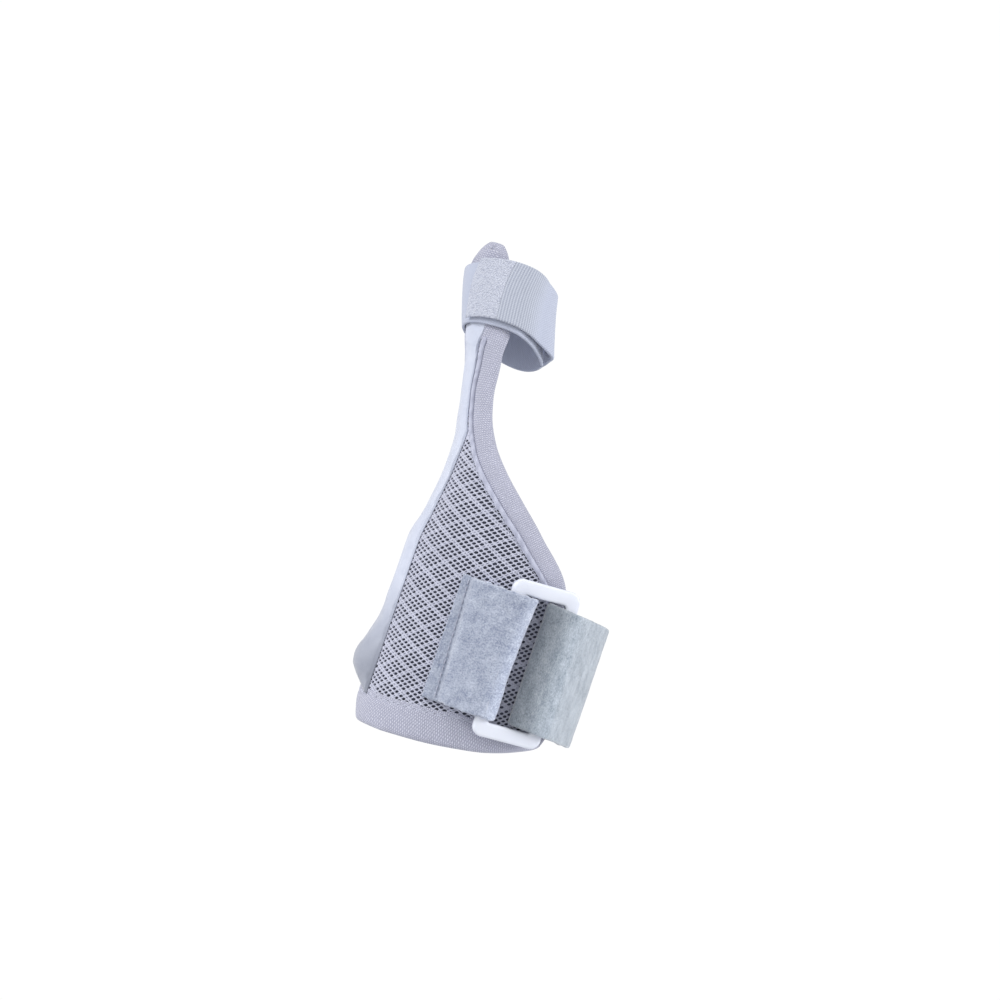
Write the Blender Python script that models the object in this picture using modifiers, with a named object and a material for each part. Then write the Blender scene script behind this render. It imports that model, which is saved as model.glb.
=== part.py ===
"""Thumb spica splint, as it is worn on a left hand with the palm to the front.

Metres, +Z up. The origin is the middle of the wrist hollow. The pieces are modelled along the arm
and tipped with one empty. Along the arm, a place is given by its height, its reach round the
hollow from the stay line on the thumb side (palm side positive), and its lift off the hollow.
"""

import math
from functools import lru_cache

import bmesh
import bpy
from mathutils import Matrix, Vector

MM = 0.001

# The hollow that the splint wraps: wrist below, thumb above
ARM_TILT = math.radians(19)
WRIST_WIDTH = 74 * MM
WRIST_DEPTH = 50 * MM
THUMB_WIDTH = 26 * MM
THUMB_DEPTH = 23 * MM
CUFF_REACH = 43.5 * MM
THUMB_REACH = 149 * MM
THUMB_SHIFT = 38.5 * MM
THUMB_LEAN = 14 * MM
TONGUE_TURN = math.radians(50)

# Panel, binding, piping and sleeve
PANEL_THICKNESS = 3.6 * MM
BINDING_THICKNESS = 0.9 * MM
SIDE_BINDING = 4.8 * MM
CUFF_BINDING = 12 * MM
TONGUE_BINDING = 4.2 * MM
PRESSED_EDGE = 0.6 * MM
EDGE_SETBACK = 1.0 * MM
TAPE_STEP = 0.5 * MM
GROOVE_WIDTH = 0.4 * MM
PIPING_DIAMETER = 2.2 * MM
PIPING_FOOT = 0.165 * THUMB_REACH
PIPING_HEAD = 0.75 * THUMB_REACH
SLEEVE_WIDTH = 21 * MM
SLEEVE_HEM = 1.0 * MM
SLEEVE_CROWN = 1.1 * MM
SLEEVE_BULGE = 4.0 * MM
GAP = 0.3 * MM

# Ring and wrist straps
LOOP_WIDTH = 49.5 * MM
STRAP_WIDTH = 47.5 * MM
STRAP_THICKNESS = 2.2 * MM
RING_REACH = 64.5 * MM
RING_HEIGHT = -1.8 * MM
RING_SKEW = math.radians(3)
RING_BAR = 5.2 * MM
RING_END_BAR = 5.2 * MM
RING_SLOT = 17.5 * MM
RING_THICKNESS = 3.0 * MM
RING_CORNER = 4.0 * MM
RING_ROUNDING = 0.8 * MM
RING_PLAY = 1.3 * MM
RING_CLEARANCE = 2.8 * MM
LOOP_LENGTH = 26.1 * MM
LOOP_TAIL = 5.0 * MM
BEND_SPACING = 4.4 * MM
STRAP_DROP = 3.2 * MM
STRAP_STAND_OFF = 2.4 * MM
STRAP_OVERLAP = 70 * MM
STRAP_SEAM = 30 * MM
HOOK_TAB_LENGTH = 28 * MM
HOOK_TAB_THICKNESS = 1.0 * MM

# Thumb strap
THUMB_STRAP_WIDTH = 24 * MM
THUMB_STRAP_THICKNESS = 1.8 * MM
THUMB_STRAP_HEIGHT = 0.836 * THUMB_REACH
THUMB_STRAP_ARCH = 7.5 * MM
THUMB_STRAP_STEP = 3.5 * MM

# Height is a share of the reach of the cuff (below zero) or of the thumb (above zero)
FORM_COLUMNS = ("height", "shift", "narrowed", "thinned", "lean", "turn")
FORM_ROWS = [
    (-1.00, -0.02, 0.06, 0.03, 0.00, 0.00),
    (-0.72, 0.00, 0.00, 0.00, 0.00, 0.00),
    (0.19, 0.00, 0.00, 0.00, 0.00, 0.00),
    (0.30, 0.17, 0.38, 0.08, 0.00, 0.00),
    (0.40, 0.31, 0.67, 0.26, 0.05, 0.02),
    (0.50, 0.44, 0.86, 0.50, 0.14, 0.08),
    (0.60, 0.57, 0.96, 0.74, 0.28, 0.22),
    (0.70, 0.69, 1.00, 0.90, 0.44, 0.44),
    (0.80, 0.83, 1.00, 0.97, 0.63, 0.68),
    (0.90, 0.94, 1.00, 1.00, 0.82, 0.88),
    (1.00, 1.00, 1.04, 1.04, 1.00, 1.00),
]

# Half the panel's width at each height, as a share of half the girth there
EDGE_COLUMNS = ("height", "reach")
EDGE_ROWS = [
    (-1.00, 0.20),
    (-0.97, 0.38),
    (-0.93, 0.51),
    (-0.885, 0.62),
    (-0.79, 0.75),
    (-0.70, 0.835),
    (-0.55, 0.855),
    (-0.10, 0.83),
    (0.10, 0.785),
    (0.19, 0.722),
    (0.26, 0.694),
    (0.315, 0.648),
    (0.37, 0.575),
    (0.43, 0.480),
    (0.49, 0.393),
    (0.57, 0.316),
    (0.644, 0.290),
    (0.715, 0.290),
    (0.785, 0.330),
    (0.85, 0.325),
    (0.90, 0.27),
    (0.94, 0.205),
    (0.975, 0.138),
    (0.99, 0.096),
    (1.00, 0.04),
]

# Where the panel's rows are cut between its edge and the stay line, closer where the hollow bends more
PANEL_COLUMNS = (0.80, 0.62, 0.45, 0.31, 0.20, 0.10, 0.0)
SPINE_SPREAD = 1.6

# How far the sleeve over the stay is filled out, as a share of its bulge
SLEEVE_COLUMNS = ("height", "bulge")
SLEEVE_ROWS = [
    (-0.72, 0.20),
    (-0.62, 0.70),
    (-0.45, 1.00),
    (-0.25, 0.60),
    (-0.05, 0.20),
    (0.10, 0.00),
    (0.75, 0.00),
]

# The thumb strap's way round the thumb: turns are shares of the girth, lifts are in strap layers
THUMB_WRAP_COLUMNS = ("turns", "layers", "stand_off", "lowered")
THUMB_WRAP_ROWS = [
    (0.42, 0, 0.00, 1),
    (0.34, 0, 0.00, 1),
    (0.26, 0, 0.30, 1),
    (0.20, 0, 1.00, 1),
    (0.10, 0, 1.00, 1),
    (0.00, 0, 1.00, 0.5),
    (-0.10, 0, 1.00, 0),
    (-0.20, 0, 1.00, 0),
    (-0.26, 0, 0.30, 0),
    (-0.34, 0, 0.00, 0),
    (-0.44, 0, 0.00, 0),
    (-0.52, 0, 0.15, 0),
    (-0.58, 0, 0.75, 0),
    (-0.615, 1, 0.85, 0),
    (-0.65, 1, 0.60, 0),
    (-0.70, 1, 0.25, 0),
    (-0.76, 1, 0.60, 0),
    (-0.81, 1, 1.00, 0),
    (-0.88, 1, 1.00, 0),
]
THUMB_TAB_ROWS = [
    (-0.885, 1, 1.00, 0),
    (-0.94, 1, 1.00, 0),
    (-1.00, 1, 1.00, 0),
]


def real_height(share):
    return share * (CUFF_REACH if share < 0 else THUMB_REACH)


def height_share(height):
    return height / (CUFF_REACH if height < 0 else THUMB_REACH)


def read_row(rows, column, share):
    """A smooth reading of one column of a table, with no overshoot between its rows."""
    share = min(max(share, rows[0][0]), rows[-1][0])
    heights = [real_height(row[0]) for row in rows]
    values = [row[column] for row in rows]
    spans = [b - a for a, b in zip(heights, heights[1:])]
    slopes = [(b - a) / span for a, b, span in zip(values, values[1:], spans)]
    tangents = [slopes[0]]
    for before, after in zip(slopes, slopes[1:]):
        turning = before * after <= 0
        tangents.append(0.0 if turning else 2 * before * after / (before + after))
    tangents.append(slopes[-1])
    at = real_height(share)
    index = max(i for i in range(len(spans)) if heights[i] <= at)
    span = spans[index]
    t = (at - heights[index]) / span
    start, end = values[index], values[index + 1]
    bend = t * (1 - t) * span * ((1 - t) * tangents[index] - t * tangents[index + 1])
    ease = t * t * (3 - 2 * t)
    return start + (end - start) * ease + bend


@lru_cache(maxsize=None)
def hollow(height):
    """The hollow's cross-section: centre across, centre back, half-width, half-depth, turn."""
    share = height_share(height)
    shift, narrowed, thinned, lean, turn = (
        read_row(FORM_ROWS, column, share) for column in range(1, len(FORM_COLUMNS))
    )
    half_width = (WRIST_WIDTH + (THUMB_WIDTH - WRIST_WIDTH) * narrowed) / 2
    half_depth = (WRIST_DEPTH + (THUMB_DEPTH - WRIST_DEPTH) * thinned) / 2
    return -THUMB_SHIFT * shift, THUMB_LEAN * lean, half_width, half_depth, TONGUE_TURN * turn


@lru_cache(maxsize=None)
def girth_table(height):
    """Pairs of reach and angle round the hollow, from one whole turn back to one and a half on."""
    _, _, half_width, half_depth, turn = hollow(height)
    steps = 240
    span = math.radians(540)
    table = [(0.0, 0.0)]
    for direction in (1, -1):
        reach = 0.0
        for step in range(steps):
            middle = turn + direction * span * (step + 0.5) / steps
            reach += math.hypot(half_width * math.sin(middle), half_depth * math.cos(middle)) * span / steps
            table.append((direction * reach, direction * span * (step + 1) / steps))
    return sorted(table)


@lru_cache(maxsize=None)
def half_girth(height):
    _, _, a, b, _ = hollow(height)
    return math.pi * (3 * (a + b) - math.sqrt((3 * a + b) * (a + 3 * b))) / 2


def angle_at(height, reach):
    table = girth_table(height)
    low, high = 0, len(table) - 1
    while high - low > 1:
        middle = (low + high) // 2
        if table[middle][0] <= reach:
            low = middle
        else:
            high = middle
    (reach_a, angle_a), (reach_b, angle_b) = table[low], table[high]
    return angle_a + (angle_b - angle_a) * (reach - reach_a) / (reach_b - reach_a)


def place(height, reach, lift):
    """The point at a height, a reach round the hollow and a lift off it."""
    height = round(height, 7)
    across, back, half_width, half_depth, turn = hollow(height)
    angle = turn + angle_at(height, reach)
    out = Vector((-math.cos(angle) / half_width, -math.sin(angle) / half_depth, 0)).normalized()
    on_hollow = Vector((across - half_width * math.cos(angle), back - half_depth * math.sin(angle), height))
    return on_hollow + out * lift


def reach_and_lift(point):
    """The reach and lift of a point, found by stepping along the hollow until the point is square to it."""
    reach = RING_REACH
    for _ in range(12):
        base = place(point.z, reach, 0)
        out = place(point.z, reach, 1) - base
        along = Vector((-out.y, out.x, 0))
        if (place(point.z, reach + MM, 0) - base).dot(along) < 0:
            along = -along
        reach += (point - base).dot(along) * 0.85
    return reach, (point - base).dot(out)


def ramp(value, start, end):
    return min(max((value - start) / (end - start), 0), 1)


def panel_half_width(height):
    return read_row(EDGE_ROWS, 1, height_share(height)) * half_girth(round(height, 7))


def slant(height):
    """How much longer a level line across a band along the side edge is than the band's own width."""
    step = 0.5 * MM
    rise = (panel_half_width(height + step) - panel_half_width(height - step)) / (2 * step)
    return math.hypot(1, rise)


def tape_width(height):
    """The width of the edge tape: wide at the cuff, narrow up the tongue."""
    share = height_share(height)
    wide = ramp(share, -0.70, -0.92)
    narrow = ramp(share, 0.48, 0.66)
    return SIDE_BINDING + (CUFF_BINDING - SIDE_BINDING) * wide + (TONGUE_BINDING - SIDE_BINDING) * narrow


@lru_cache(maxsize=None)
def palm_outline(count=46):
    """Half the panel's edge as even steps of (reach, height), from the middle of the cuff to the tip."""
    steps = 400
    rise = CUFF_REACH + THUMB_REACH
    heights = [-CUFF_REACH + rise * step / steps for step in range(steps + 1)]
    corners = [(0.0, -CUFF_REACH)]
    corners += [(panel_half_width(height), height) for height in heights]
    corners += [(0.0, THUMB_REACH)]
    lengths = [0.0]
    for (a, b), (c, d) in zip(corners, corners[1:]):
        lengths.append(lengths[-1] + math.hypot(c - a, d - b))
    points = []
    for index in range(count):
        wanted = lengths[-1] * index / (count - 1)
        at = max(i for i in range(len(corners) - 1) if lengths[i] <= wanted or i == 0)
        share = (wanted - lengths[at]) / (lengths[at + 1] - lengths[at])
        (a, b), (c, d) = corners[at], corners[at + 1]
        points.append((a + (c - a) * share, b + (d - b) * share))
    return points


def whole_outline():
    palm = palm_outline()
    return palm + [(-reach, height) for reach, height in reversed(palm[1:-1])]


def inward(outline, index):
    """The direction into the panel, square to its edge."""
    before = outline[index - 1]
    after = outline[(index + 1) % len(outline)]
    along = Vector((after[0] - before[0], after[1] - before[1])).normalized()
    return Vector((-along.y, along.x))


def clear_scene():
    for item in list(bpy.data.objects):
        bpy.data.objects.remove(item, do_unlink=True)


def finish(name, color, roughness):
    material = bpy.data.materials.new(name)
    material.use_nodes = True
    shader = material.node_tree.nodes["Principled BSDF"]
    shader.inputs["Base Color"].default_value = (*color, 1)
    shader.inputs["Roughness"].default_value = roughness
    shader.inputs["Metallic"].default_value = 0.0
    return material


def add_object(name, data, material, arm, collection):
    item = bpy.data.objects.new(name, data)
    data.materials.append(material)
    collection.objects.link(item)
    item.parent = arm
    return item


def grid_faces(rows, columns, start=0, closed=False):
    """Quads between the rows of a grid of points, the last row joined to the first if it is closed."""
    faces = []
    for row in range(rows if closed else rows - 1):
        after = (row + 1) % rows
        for column in range(columns - 1):
            corner = start + row * columns + column
            above = start + after * columns + column
            faces.append((corner, corner + 1, above + 1, above))
    return faces


def ribbon(name, rows, thickness, material, arm, collection, closed=False):
    """An open lofted surface, thickened evenly to both sides."""
    mesh = bpy.data.meshes.new(name)
    points = [point for row in rows for point in row]
    mesh.from_pydata(points, [], grid_faces(len(rows), len(rows[0]), closed=closed))
    mesh.shade_smooth()
    mesh.set_sharp_from_angle(angle=math.radians(50))
    item = add_object(name, mesh, material, arm, collection)
    wall = item.modifiers.new("Wall", "SOLIDIFY")
    wall.thickness = thickness
    wall.offset = 0
    wall.use_even_offset = True
    return item


def padded_loft(name, outer, inner, material, arm, collection, seamed=False):
    """A closed loft whose thickness changes over it: an outer grid, an inner grid and the rim between.

    Where it is seamed, the first row and the last are folded onto themselves and joined.
    """
    rows, columns = len(outer), len(outer[0])
    count = rows * columns
    points = [point for row in outer + inner for point in row]
    faces = grid_faces(rows, columns)
    faces += [tuple(reversed(face)) for face in grid_faces(rows, columns, start=count)]
    foot = list(range(columns))
    far_side = [row * columns + columns - 1 for row in range(rows)]
    head = [(rows - 1) * columns + column for column in range(columns - 1, -1, -1)]
    near_side = [row * columns for row in range(rows - 1, -1, -1)]
    for run in (far_side, near_side) if seamed else (foot, far_side, head, near_side):
        for here, after in zip(run, run[1:]):
            faces.append((after, here, here + count, after + count))
    mesh = bpy.data.meshes.new(name)
    mesh.from_pydata(points, [], faces)
    if seamed:
        cage = bmesh.new()
        cage.from_mesh(mesh)
        bmesh.ops.remove_doubles(cage, verts=cage.verts, dist=0.001 * MM)
        cage.to_mesh(mesh)
        cage.free()
    mesh.shade_smooth()
    mesh.set_sharp_from_angle(angle=math.radians(50))
    return add_object(name, mesh, material, arm, collection)


def rounded(points, cuts=1):
    """Cuts the corners off a run of (reach, lift) points and keeps its ends."""
    for _ in range(cuts):
        run = [points[0]]
        for (a, b), (c, d) in zip(points, points[1:]):
            run.append((a * 0.75 + c * 0.25, b * 0.75 + d * 0.25))
            run.append((a * 0.25 + c * 0.75, b * 0.25 + d * 0.75))
        points = run + [points[-1]]
    return points


def inset_place(outline, index, inset):
    """The (reach, height) that lies this far inside one station of the edge."""
    reach, height = outline[index]
    into = inward(outline, index)
    return reach + into.x * inset, height + into.y * inset


def mesh_panel(material, arm, collection):
    """The body: rows that run from the stay line to the stations of the edge, pressed thin in the tape."""
    outline = whole_outline()
    stations = len(palm_outline())
    pressed_in = (PANEL_THICKNESS - PRESSED_EDGE) / 2
    pressed_out = (PANEL_THICKNESS + PRESSED_EDGE) / 2
    beside_tape = GAP + TAPE_STEP
    spine_foot = -CUFF_REACH + CUFF_BINDING + beside_tape + GROOVE_WIDTH + MM
    spine_head = THUMB_REACH - TONGUE_BINDING - beside_tape - GROOVE_WIDTH - 2 * MM
    outer = []
    inner = []
    for index in range(stations):
        tape = tape_width(outline[index][1])
        insets = [EDGE_SETBACK, tape / 2, tape + beside_tape, tape + beside_tape + GROOVE_WIDTH]
        side = [inset_place(outline, index, inset) for inset in insets]
        spine = spine_foot + (spine_head - spine_foot) * (index / (stations - 1)) ** SPINE_SPREAD
        reach, height = side[-1]
        side += [(reach * share, spine + (height - spine) * share) for share in PANEL_COLUMNS]
        outer_row = []
        inner_row = []
        for column, (reach, height) in enumerate(side):
            pressed = column < 3
            outer_row.append((reach, height, pressed_out if pressed else PANEL_THICKNESS))
            inner_row.append((reach, height, pressed_in if pressed else 0.0))
        for row, rows in ((outer_row, outer), (inner_row, inner)):
            palm = [place(height, reach, lift) for reach, height, lift in row]
            back = [place(height, -reach, lift) for reach, height, lift in row[:-1]]
            rows.append(back + palm[::-1])
    return padded_loft("mesh_panel", outer, inner, material, arm, collection, seamed=True)


def edge_binding(material, arm, collection):
    """The folded tape: a channel whose section is swept round the panel's edge."""
    middle = PANEL_THICKNESS / 2
    flange = BINDING_THICKNESS / 2
    bend = GAP + BINDING_THICKNESS / 2
    outline = whole_outline()
    rows = []
    for index, (reach, height) in enumerate(outline):
        into = inward(outline, index)
        tape = tape_width(height)
        section = [
            (tape, flange),
            (tape / 2, flange),
            (bend, flange),
            (-bend, 0.7 * middle),
            (-bend, 1.3 * middle),
            (bend, PANEL_THICKNESS - flange),
            (tape / 2, PANEL_THICKNESS - flange),
            (tape, PANEL_THICKNESS - flange),
        ]
        rows.append([place(height + into.y * inset, reach + into.x * inset, lift) for inset, lift in section])
    return ribbon("edge_binding", rows, BINDING_THICKNESS, material, arm, collection, closed=True)


def piping(name, side, material, arm, collection):
    """The raised cord beside the tape, a tube from the ring up to the thumb strap."""
    outline = palm_outline()
    radius = PIPING_DIAMETER / 2
    points = []
    for index, (reach, height) in enumerate(outline[:-1]):
        if index == 0:
            continue
        into = inward(outline, index)
        inset = tape_width(height) + GAP + TAPE_STEP + GROOVE_WIDTH + radius
        at_height = height + into.y * inset
        if PIPING_FOOT <= at_height <= PIPING_HEAD:
            at_reach = side * (reach + into.x * inset)
            points.append(place(at_height, at_reach, PANEL_THICKNESS + GAP + radius))
    curve = bpy.data.curves.new(name, "CURVE")
    curve.dimensions = "3D"
    curve.bevel_depth = radius
    curve.bevel_resolution = 1
    curve.use_fill_caps = True
    spline = curve.splines.new("POLY")
    spline.points.add(len(points) - 1)
    for target, point in zip(spline.points, points):
        target.co = (*point, 1)
    return add_object(name, curve, material, arm, collection)


def sleeve_half_width(height):
    beside_tape = tape_width(height) + GAP + TAPE_STEP + GROOVE_WIDTH + PIPING_DIAMETER + GAP
    return min(SLEEVE_WIDTH / 2, panel_half_width(height) - beside_tape * slant(height) - GAP)


def stay_sleeve(material, arm, collection):
    base = PANEL_THICKNESS + GAP
    foot = real_height(SLEEVE_ROWS[0][0])
    head = real_height(SLEEVE_ROWS[-1][0])
    rows = 30
    outer = []
    inner = []
    for row in range(rows):
        height = foot + (head - foot) * row / (rows - 1)
        half = sleeve_half_width(height)
        bulge = SLEEVE_BULGE * read_row(SLEEVE_ROWS, 1, height_share(height))
        crown = SLEEVE_CROWN * half / (SLEEVE_WIDTH / 2) + bulge
        across = [column / 4 for column in range(-4, 5)]
        outer.append([place(height, half * x, base + SLEEVE_HEM + crown * (1 - x * x)) for x in across])
        inner.append([place(height, half * x, base) for x in across])
    return padded_loft("stay_sleeve", outer, inner, material, arm, collection)


class RingPlace:
    """Where the ring lies: flat, square to the hollow's outward direction at its middle, and skewed."""

    def __init__(self):
        lift = PANEL_THICKNESS + RING_CLEARANCE + RING_THICKNESS / 2
        self.centre = place(RING_HEIGHT, RING_REACH, lift)
        self.out = (place(RING_HEIGHT, RING_REACH, 1) - place(RING_HEIGHT, RING_REACH, 0)).normalized()
        ahead = (place(RING_HEIGHT, RING_REACH + MM, lift) - self.centre).normalized()
        up = self.out.cross(ahead)
        if up.z < 0:
            up = -up
        self.up = up * math.cos(RING_SKEW) - ahead * math.sin(RING_SKEW)
        self.ahead = ahead * math.cos(RING_SKEW) + up * math.sin(RING_SKEW)

    def bar(self, side, height, share=0.5):
        """The reach and lift on a long bar's outer face at a height, at a share of its width from the slot."""
        across = side * (RING_SLOT / 2 + RING_BAR * share)
        depth = RING_THICKNESS / 2
        start = self.centre + self.ahead * across + self.out * depth
        return reach_and_lift(start + self.up * (height - start.z) / self.up.z)


def rounded_rectangle(curve, width, length, corner):
    spline = curve.splines.new("POLY")
    points = []
    for quarter in range(4):
        toward_x = 1 if quarter in (0, 3) else -1
        toward_y = 1 if quarter in (0, 1) else -1
        for step in range(5):
            angle = math.pi / 2 * (quarter + step / 4)
            x = toward_x * (width / 2 - corner) + corner * math.cos(angle)
            y = toward_y * (length / 2 - corner) + corner * math.sin(angle)
            points.append((x, y))
    spline.points.add(len(points) - 1)
    for target, (x, y) in zip(spline.points, points):
        target.co = (x, y, 0, 1)
    spline.use_cyclic_u = True


def ring(material, arm, collection):
    where = RingPlace()
    slot_length = LOOP_WIDTH + 2 * RING_PLAY
    curve = bpy.data.curves.new("ring", "CURVE")
    curve.dimensions = "2D"
    curve.fill_mode = "BOTH"
    curve.extrude = RING_THICKNESS / 2 - RING_ROUNDING
    curve.bevel_depth = RING_ROUNDING
    curve.bevel_resolution = 1
    curve.offset = -RING_ROUNDING
    rounded_rectangle(curve, RING_SLOT + 2 * RING_BAR, slot_length + 2 * RING_END_BAR, RING_CORNER)
    rounded_rectangle(curve, RING_SLOT, slot_length, RING_CORNER / 3)
    item = add_object("ring", curve, material, arm, collection)
    across, up, out = where.ahead, where.up, where.out
    if across.cross(up).dot(out) < 0:
        across = -across
    axes = Matrix((across, up, out)).transposed()
    item.location = where.centre
    item.rotation_euler = axes.to_euler()
    return item


def fold_round(reach, direction, low, high):
    """The half turn of a strap round a bar, bulging to a reach, from its low lift to its high one."""
    radius = (high - low) / 2
    steps = 8
    turn = []
    for step in range(steps + 1):
        angle = math.pi * step / steps
        out = direction * radius * (math.sin(angle) - 1)
        turn.append((reach + out, low + radius - radius * math.cos(angle)))
    return turn


def ring_loop(material, arm, collection):
    """The plush band: its tail sewn to the panel, over the near bar, through the slot and back under."""
    where = RingPlace()
    flat = PANEL_THICKNESS + GAP + STRAP_THICKNESS / 2
    doubled = flat + STRAP_THICKNESS + GAP
    rows = []
    for part in (0, 1 / 3, 2 / 3, 1):
        height = RING_HEIGHT + (part - 0.5) * LOOP_WIDTH
        near_reach, bar_top = where.bar(-1, height)
        over = bar_top + GAP + STRAP_THICKNESS / 2
        bend = RING_REACH - BEND_SPACING + 1.0 * MM * (part - 0.5)
        start = RING_REACH - BEND_SPACING - LOOP_LENGTH
        step = start + LOOP_TAIL - 2.5 * MM * (part - 0.5)
        fold = fold_round(bend, 1, flat, over)
        run = [(start, flat), (start + LOOP_TAIL / 2, flat), (step, flat + STRAP_THICKNESS / 2)]
        run += [(step + 1.2 * STRAP_THICKNESS, doubled + GAP)]
        run += [((step + near_reach) / 2, (doubled + over) / 2 + GAP), (near_reach - RING_BAR, over)]
        run += [(near_reach, over + GAP)]
        run += fold[::-1]
        run += [(near_reach, flat), ((step + near_reach) / 2, flat), (step + 1.6 * STRAP_THICKNESS, flat)]
        rows.append([place(height, reach, lift) for reach, lift in rounded(run)])
    return ribbon("ring_loop", list(zip(*rows)), STRAP_THICKNESS, material, arm, collection)


def strap_height(reach, part):
    """The wrist strap runs level through the ring and drops a little on its way to the far side."""
    drop = STRAP_DROP * ramp(reach, RING_REACH, half_girth(0.0))
    return RING_HEIGHT + (part - 0.5) * STRAP_WIDTH - drop


def strap_lift(reach):
    """The lift of the strap's first layer: flat on the wings, nearer the hollow between them."""
    middle = half_girth(0.0)
    wing = max(read_row(EDGE_ROWS, 1, row[0]) for row in EDGE_ROWS) * middle
    on_wing = PANEL_THICKNESS + GAP + STRAP_THICKNESS / 2
    off_wing = ramp(middle - wing - 2 * BINDING_THICKNESS - abs(reach - middle), 0, middle - wing)
    return on_wing + (STRAP_STAND_OFF - on_wing) * off_wing


def second_lift(reach):
    """The lift of the layer that is folded back, raised where the hook tab is under it."""
    raised = (HOOK_TAB_THICKNESS + GAP) * ramp(reach, half_girth(0.0) - 4 * MM, half_girth(0.0) + 4 * MM)
    return strap_lift(reach) + STRAP_THICKNESS + GAP + raised


def wrist_strap(material, arm, collection):
    """The long strap: sewn to the back wing, round the far side, under and over the far bar, and back."""
    where = RingPlace()
    middle = half_girth(0.0)
    wing = max(read_row(EDGE_ROWS, 1, row[0]) for row in EDGE_ROWS) * middle
    seam = 2 * middle - wing + STRAP_SEAM
    bend = RING_REACH + 0.4 * MM
    end = bend + STRAP_OVERLAP
    flat = strap_lift(RING_REACH)
    rows = []
    for part in (0, 0.5, 1):
        far_reach, bar_top = where.bar(1, strap_height(RING_REACH, part))
        brink_reach, brink_top = where.bar(1, strap_height(RING_REACH, part), 1)
        over = bar_top + GAP + STRAP_THICKNESS / 2
        over_brink = brink_top + 2 * GAP + STRAP_THICKNESS / 2
        first_steps = 16
        first = [seam + (far_reach - seam) * step / first_steps for step in range(first_steps + 1)]
        run = [(reach, strap_lift(reach)) for reach in first]
        run += fold_round(bend, -1, flat, over)
        run += [(far_reach, over + GAP), (brink_reach, over_brink), (brink_reach + GAP, over_brink)]
        second_steps = 10
        landing = brink_reach + 2 * RING_BAR
        second = [landing + (end - landing) * step / second_steps for step in range(second_steps + 1)]
        run += [(reach, second_lift(reach)) for reach in second]
        rows.append([place(strap_height(reach, part), reach, lift) for reach, lift in run])
    return ribbon("wrist_strap", list(zip(*rows)), STRAP_THICKNESS, material, arm, collection)


def wrist_hook_tab(material, arm, collection):
    """The hook patch under the strap's free end."""
    end = RING_REACH + STRAP_OVERLAP - MM
    start = end - HOOK_TAB_LENGTH
    steps = 8
    rows = []
    for step in range(steps + 1):
        reach = start + (end - start) * step / steps
        lift = strap_lift(reach) + STRAP_THICKNESS / 2 + GAP + HOOK_TAB_THICKNESS / 2
        rows.append([place(strap_height(reach, part), reach, lift) for part in (0.04, 0.5, 0.96)])
    return ribbon("wrist_hook_tab", rows, HOOK_TAB_THICKNESS, material, arm, collection)


def between_rows(table, spacing):
    """The rows of a table with even steps between them, so that the strap stays round."""
    run = []
    for here, after in zip(table, table[1:]):
        steps = max(1, round(abs(after[0] - here[0]) / spacing))
        run += [[a + (b - a) * step / steps for a, b in zip(here, after)] for step in range(steps)]
    return run + [list(table[-1])]


def thumb_ribbon(name, table, material, arm, collection):
    """A strap round the thumb, worked out from a table of its turns."""
    turn = hollow(THUMB_STRAP_HEIGHT)[4]
    rows = []
    for turns, layers, stand_off, lowered in between_rows(table, 0.025):
        arch = THUMB_STRAP_ARCH * math.sin(turn + 2 * math.pi * turns)
        middle = THUMB_STRAP_HEIGHT + arch - THUMB_STRAP_STEP * lowered
        lift = GAP + THUMB_STRAP_THICKNESS / 2 + stand_off * (PANEL_THICKNESS + GAP)
        lift += layers * (THUMB_STRAP_THICKNESS + GAP)
        row = []
        for part in (-0.5, 0, 0.5):
            height = middle + part * THUMB_STRAP_WIDTH
            row.append(place(height, turns * 2 * half_girth(height), lift))
        rows.append(row)
    return ribbon(name, rows, THUMB_STRAP_THICKNESS, material, arm, collection)


def build():
    clear_scene()
    collection = bpy.data.collections.new("thumb_spica_splint")
    bpy.context.scene.collection.children.link(collection)
    arm = bpy.data.objects.new("arm_frame", None)
    arm.rotation_euler = (0, ARM_TILT, 0)
    collection.objects.link(arm)
    net = finish("spacer_mesh", (0.50, 0.53, 0.60), 0.9)
    tape = finish("twill_tape", (0.63, 0.66, 0.73), 0.85)
    jersey = finish("soft_jersey", (0.66, 0.69, 0.78), 0.9)
    plush = finish("plush_loop", (0.50, 0.56, 0.62), 1.0)
    elastic = finish("ribbed_elastic", (0.66, 0.70, 0.78), 0.85)
    hooks = finish("hook_tape", (0.64, 0.67, 0.75), 0.7)
    plastic = finish("white_plastic", (0.86, 0.88, 0.93), 0.35)
    mesh_panel(net, arm, collection)
    edge_binding(tape, arm, collection)
    piping("palm_piping", 1, tape, arm, collection)
    piping("back_piping", -1, tape, arm, collection)
    stay_sleeve(jersey, arm, collection)
    ring(plastic, arm, collection)
    ring_loop(plush, arm, collection)
    wrist_strap(plush, arm, collection)
    wrist_hook_tab(hooks, arm, collection)
    thumb_ribbon("thumb_strap", THUMB_WRAP_ROWS, elastic, arm, collection)
    thumb_ribbon("thumb_hook_tab", THUMB_TAB_ROWS, hooks, arm, collection)


build()
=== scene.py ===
"""Thumb spica splint in its worn shape: the looks of every cloth, thread and moulded piece."""

import math

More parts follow.
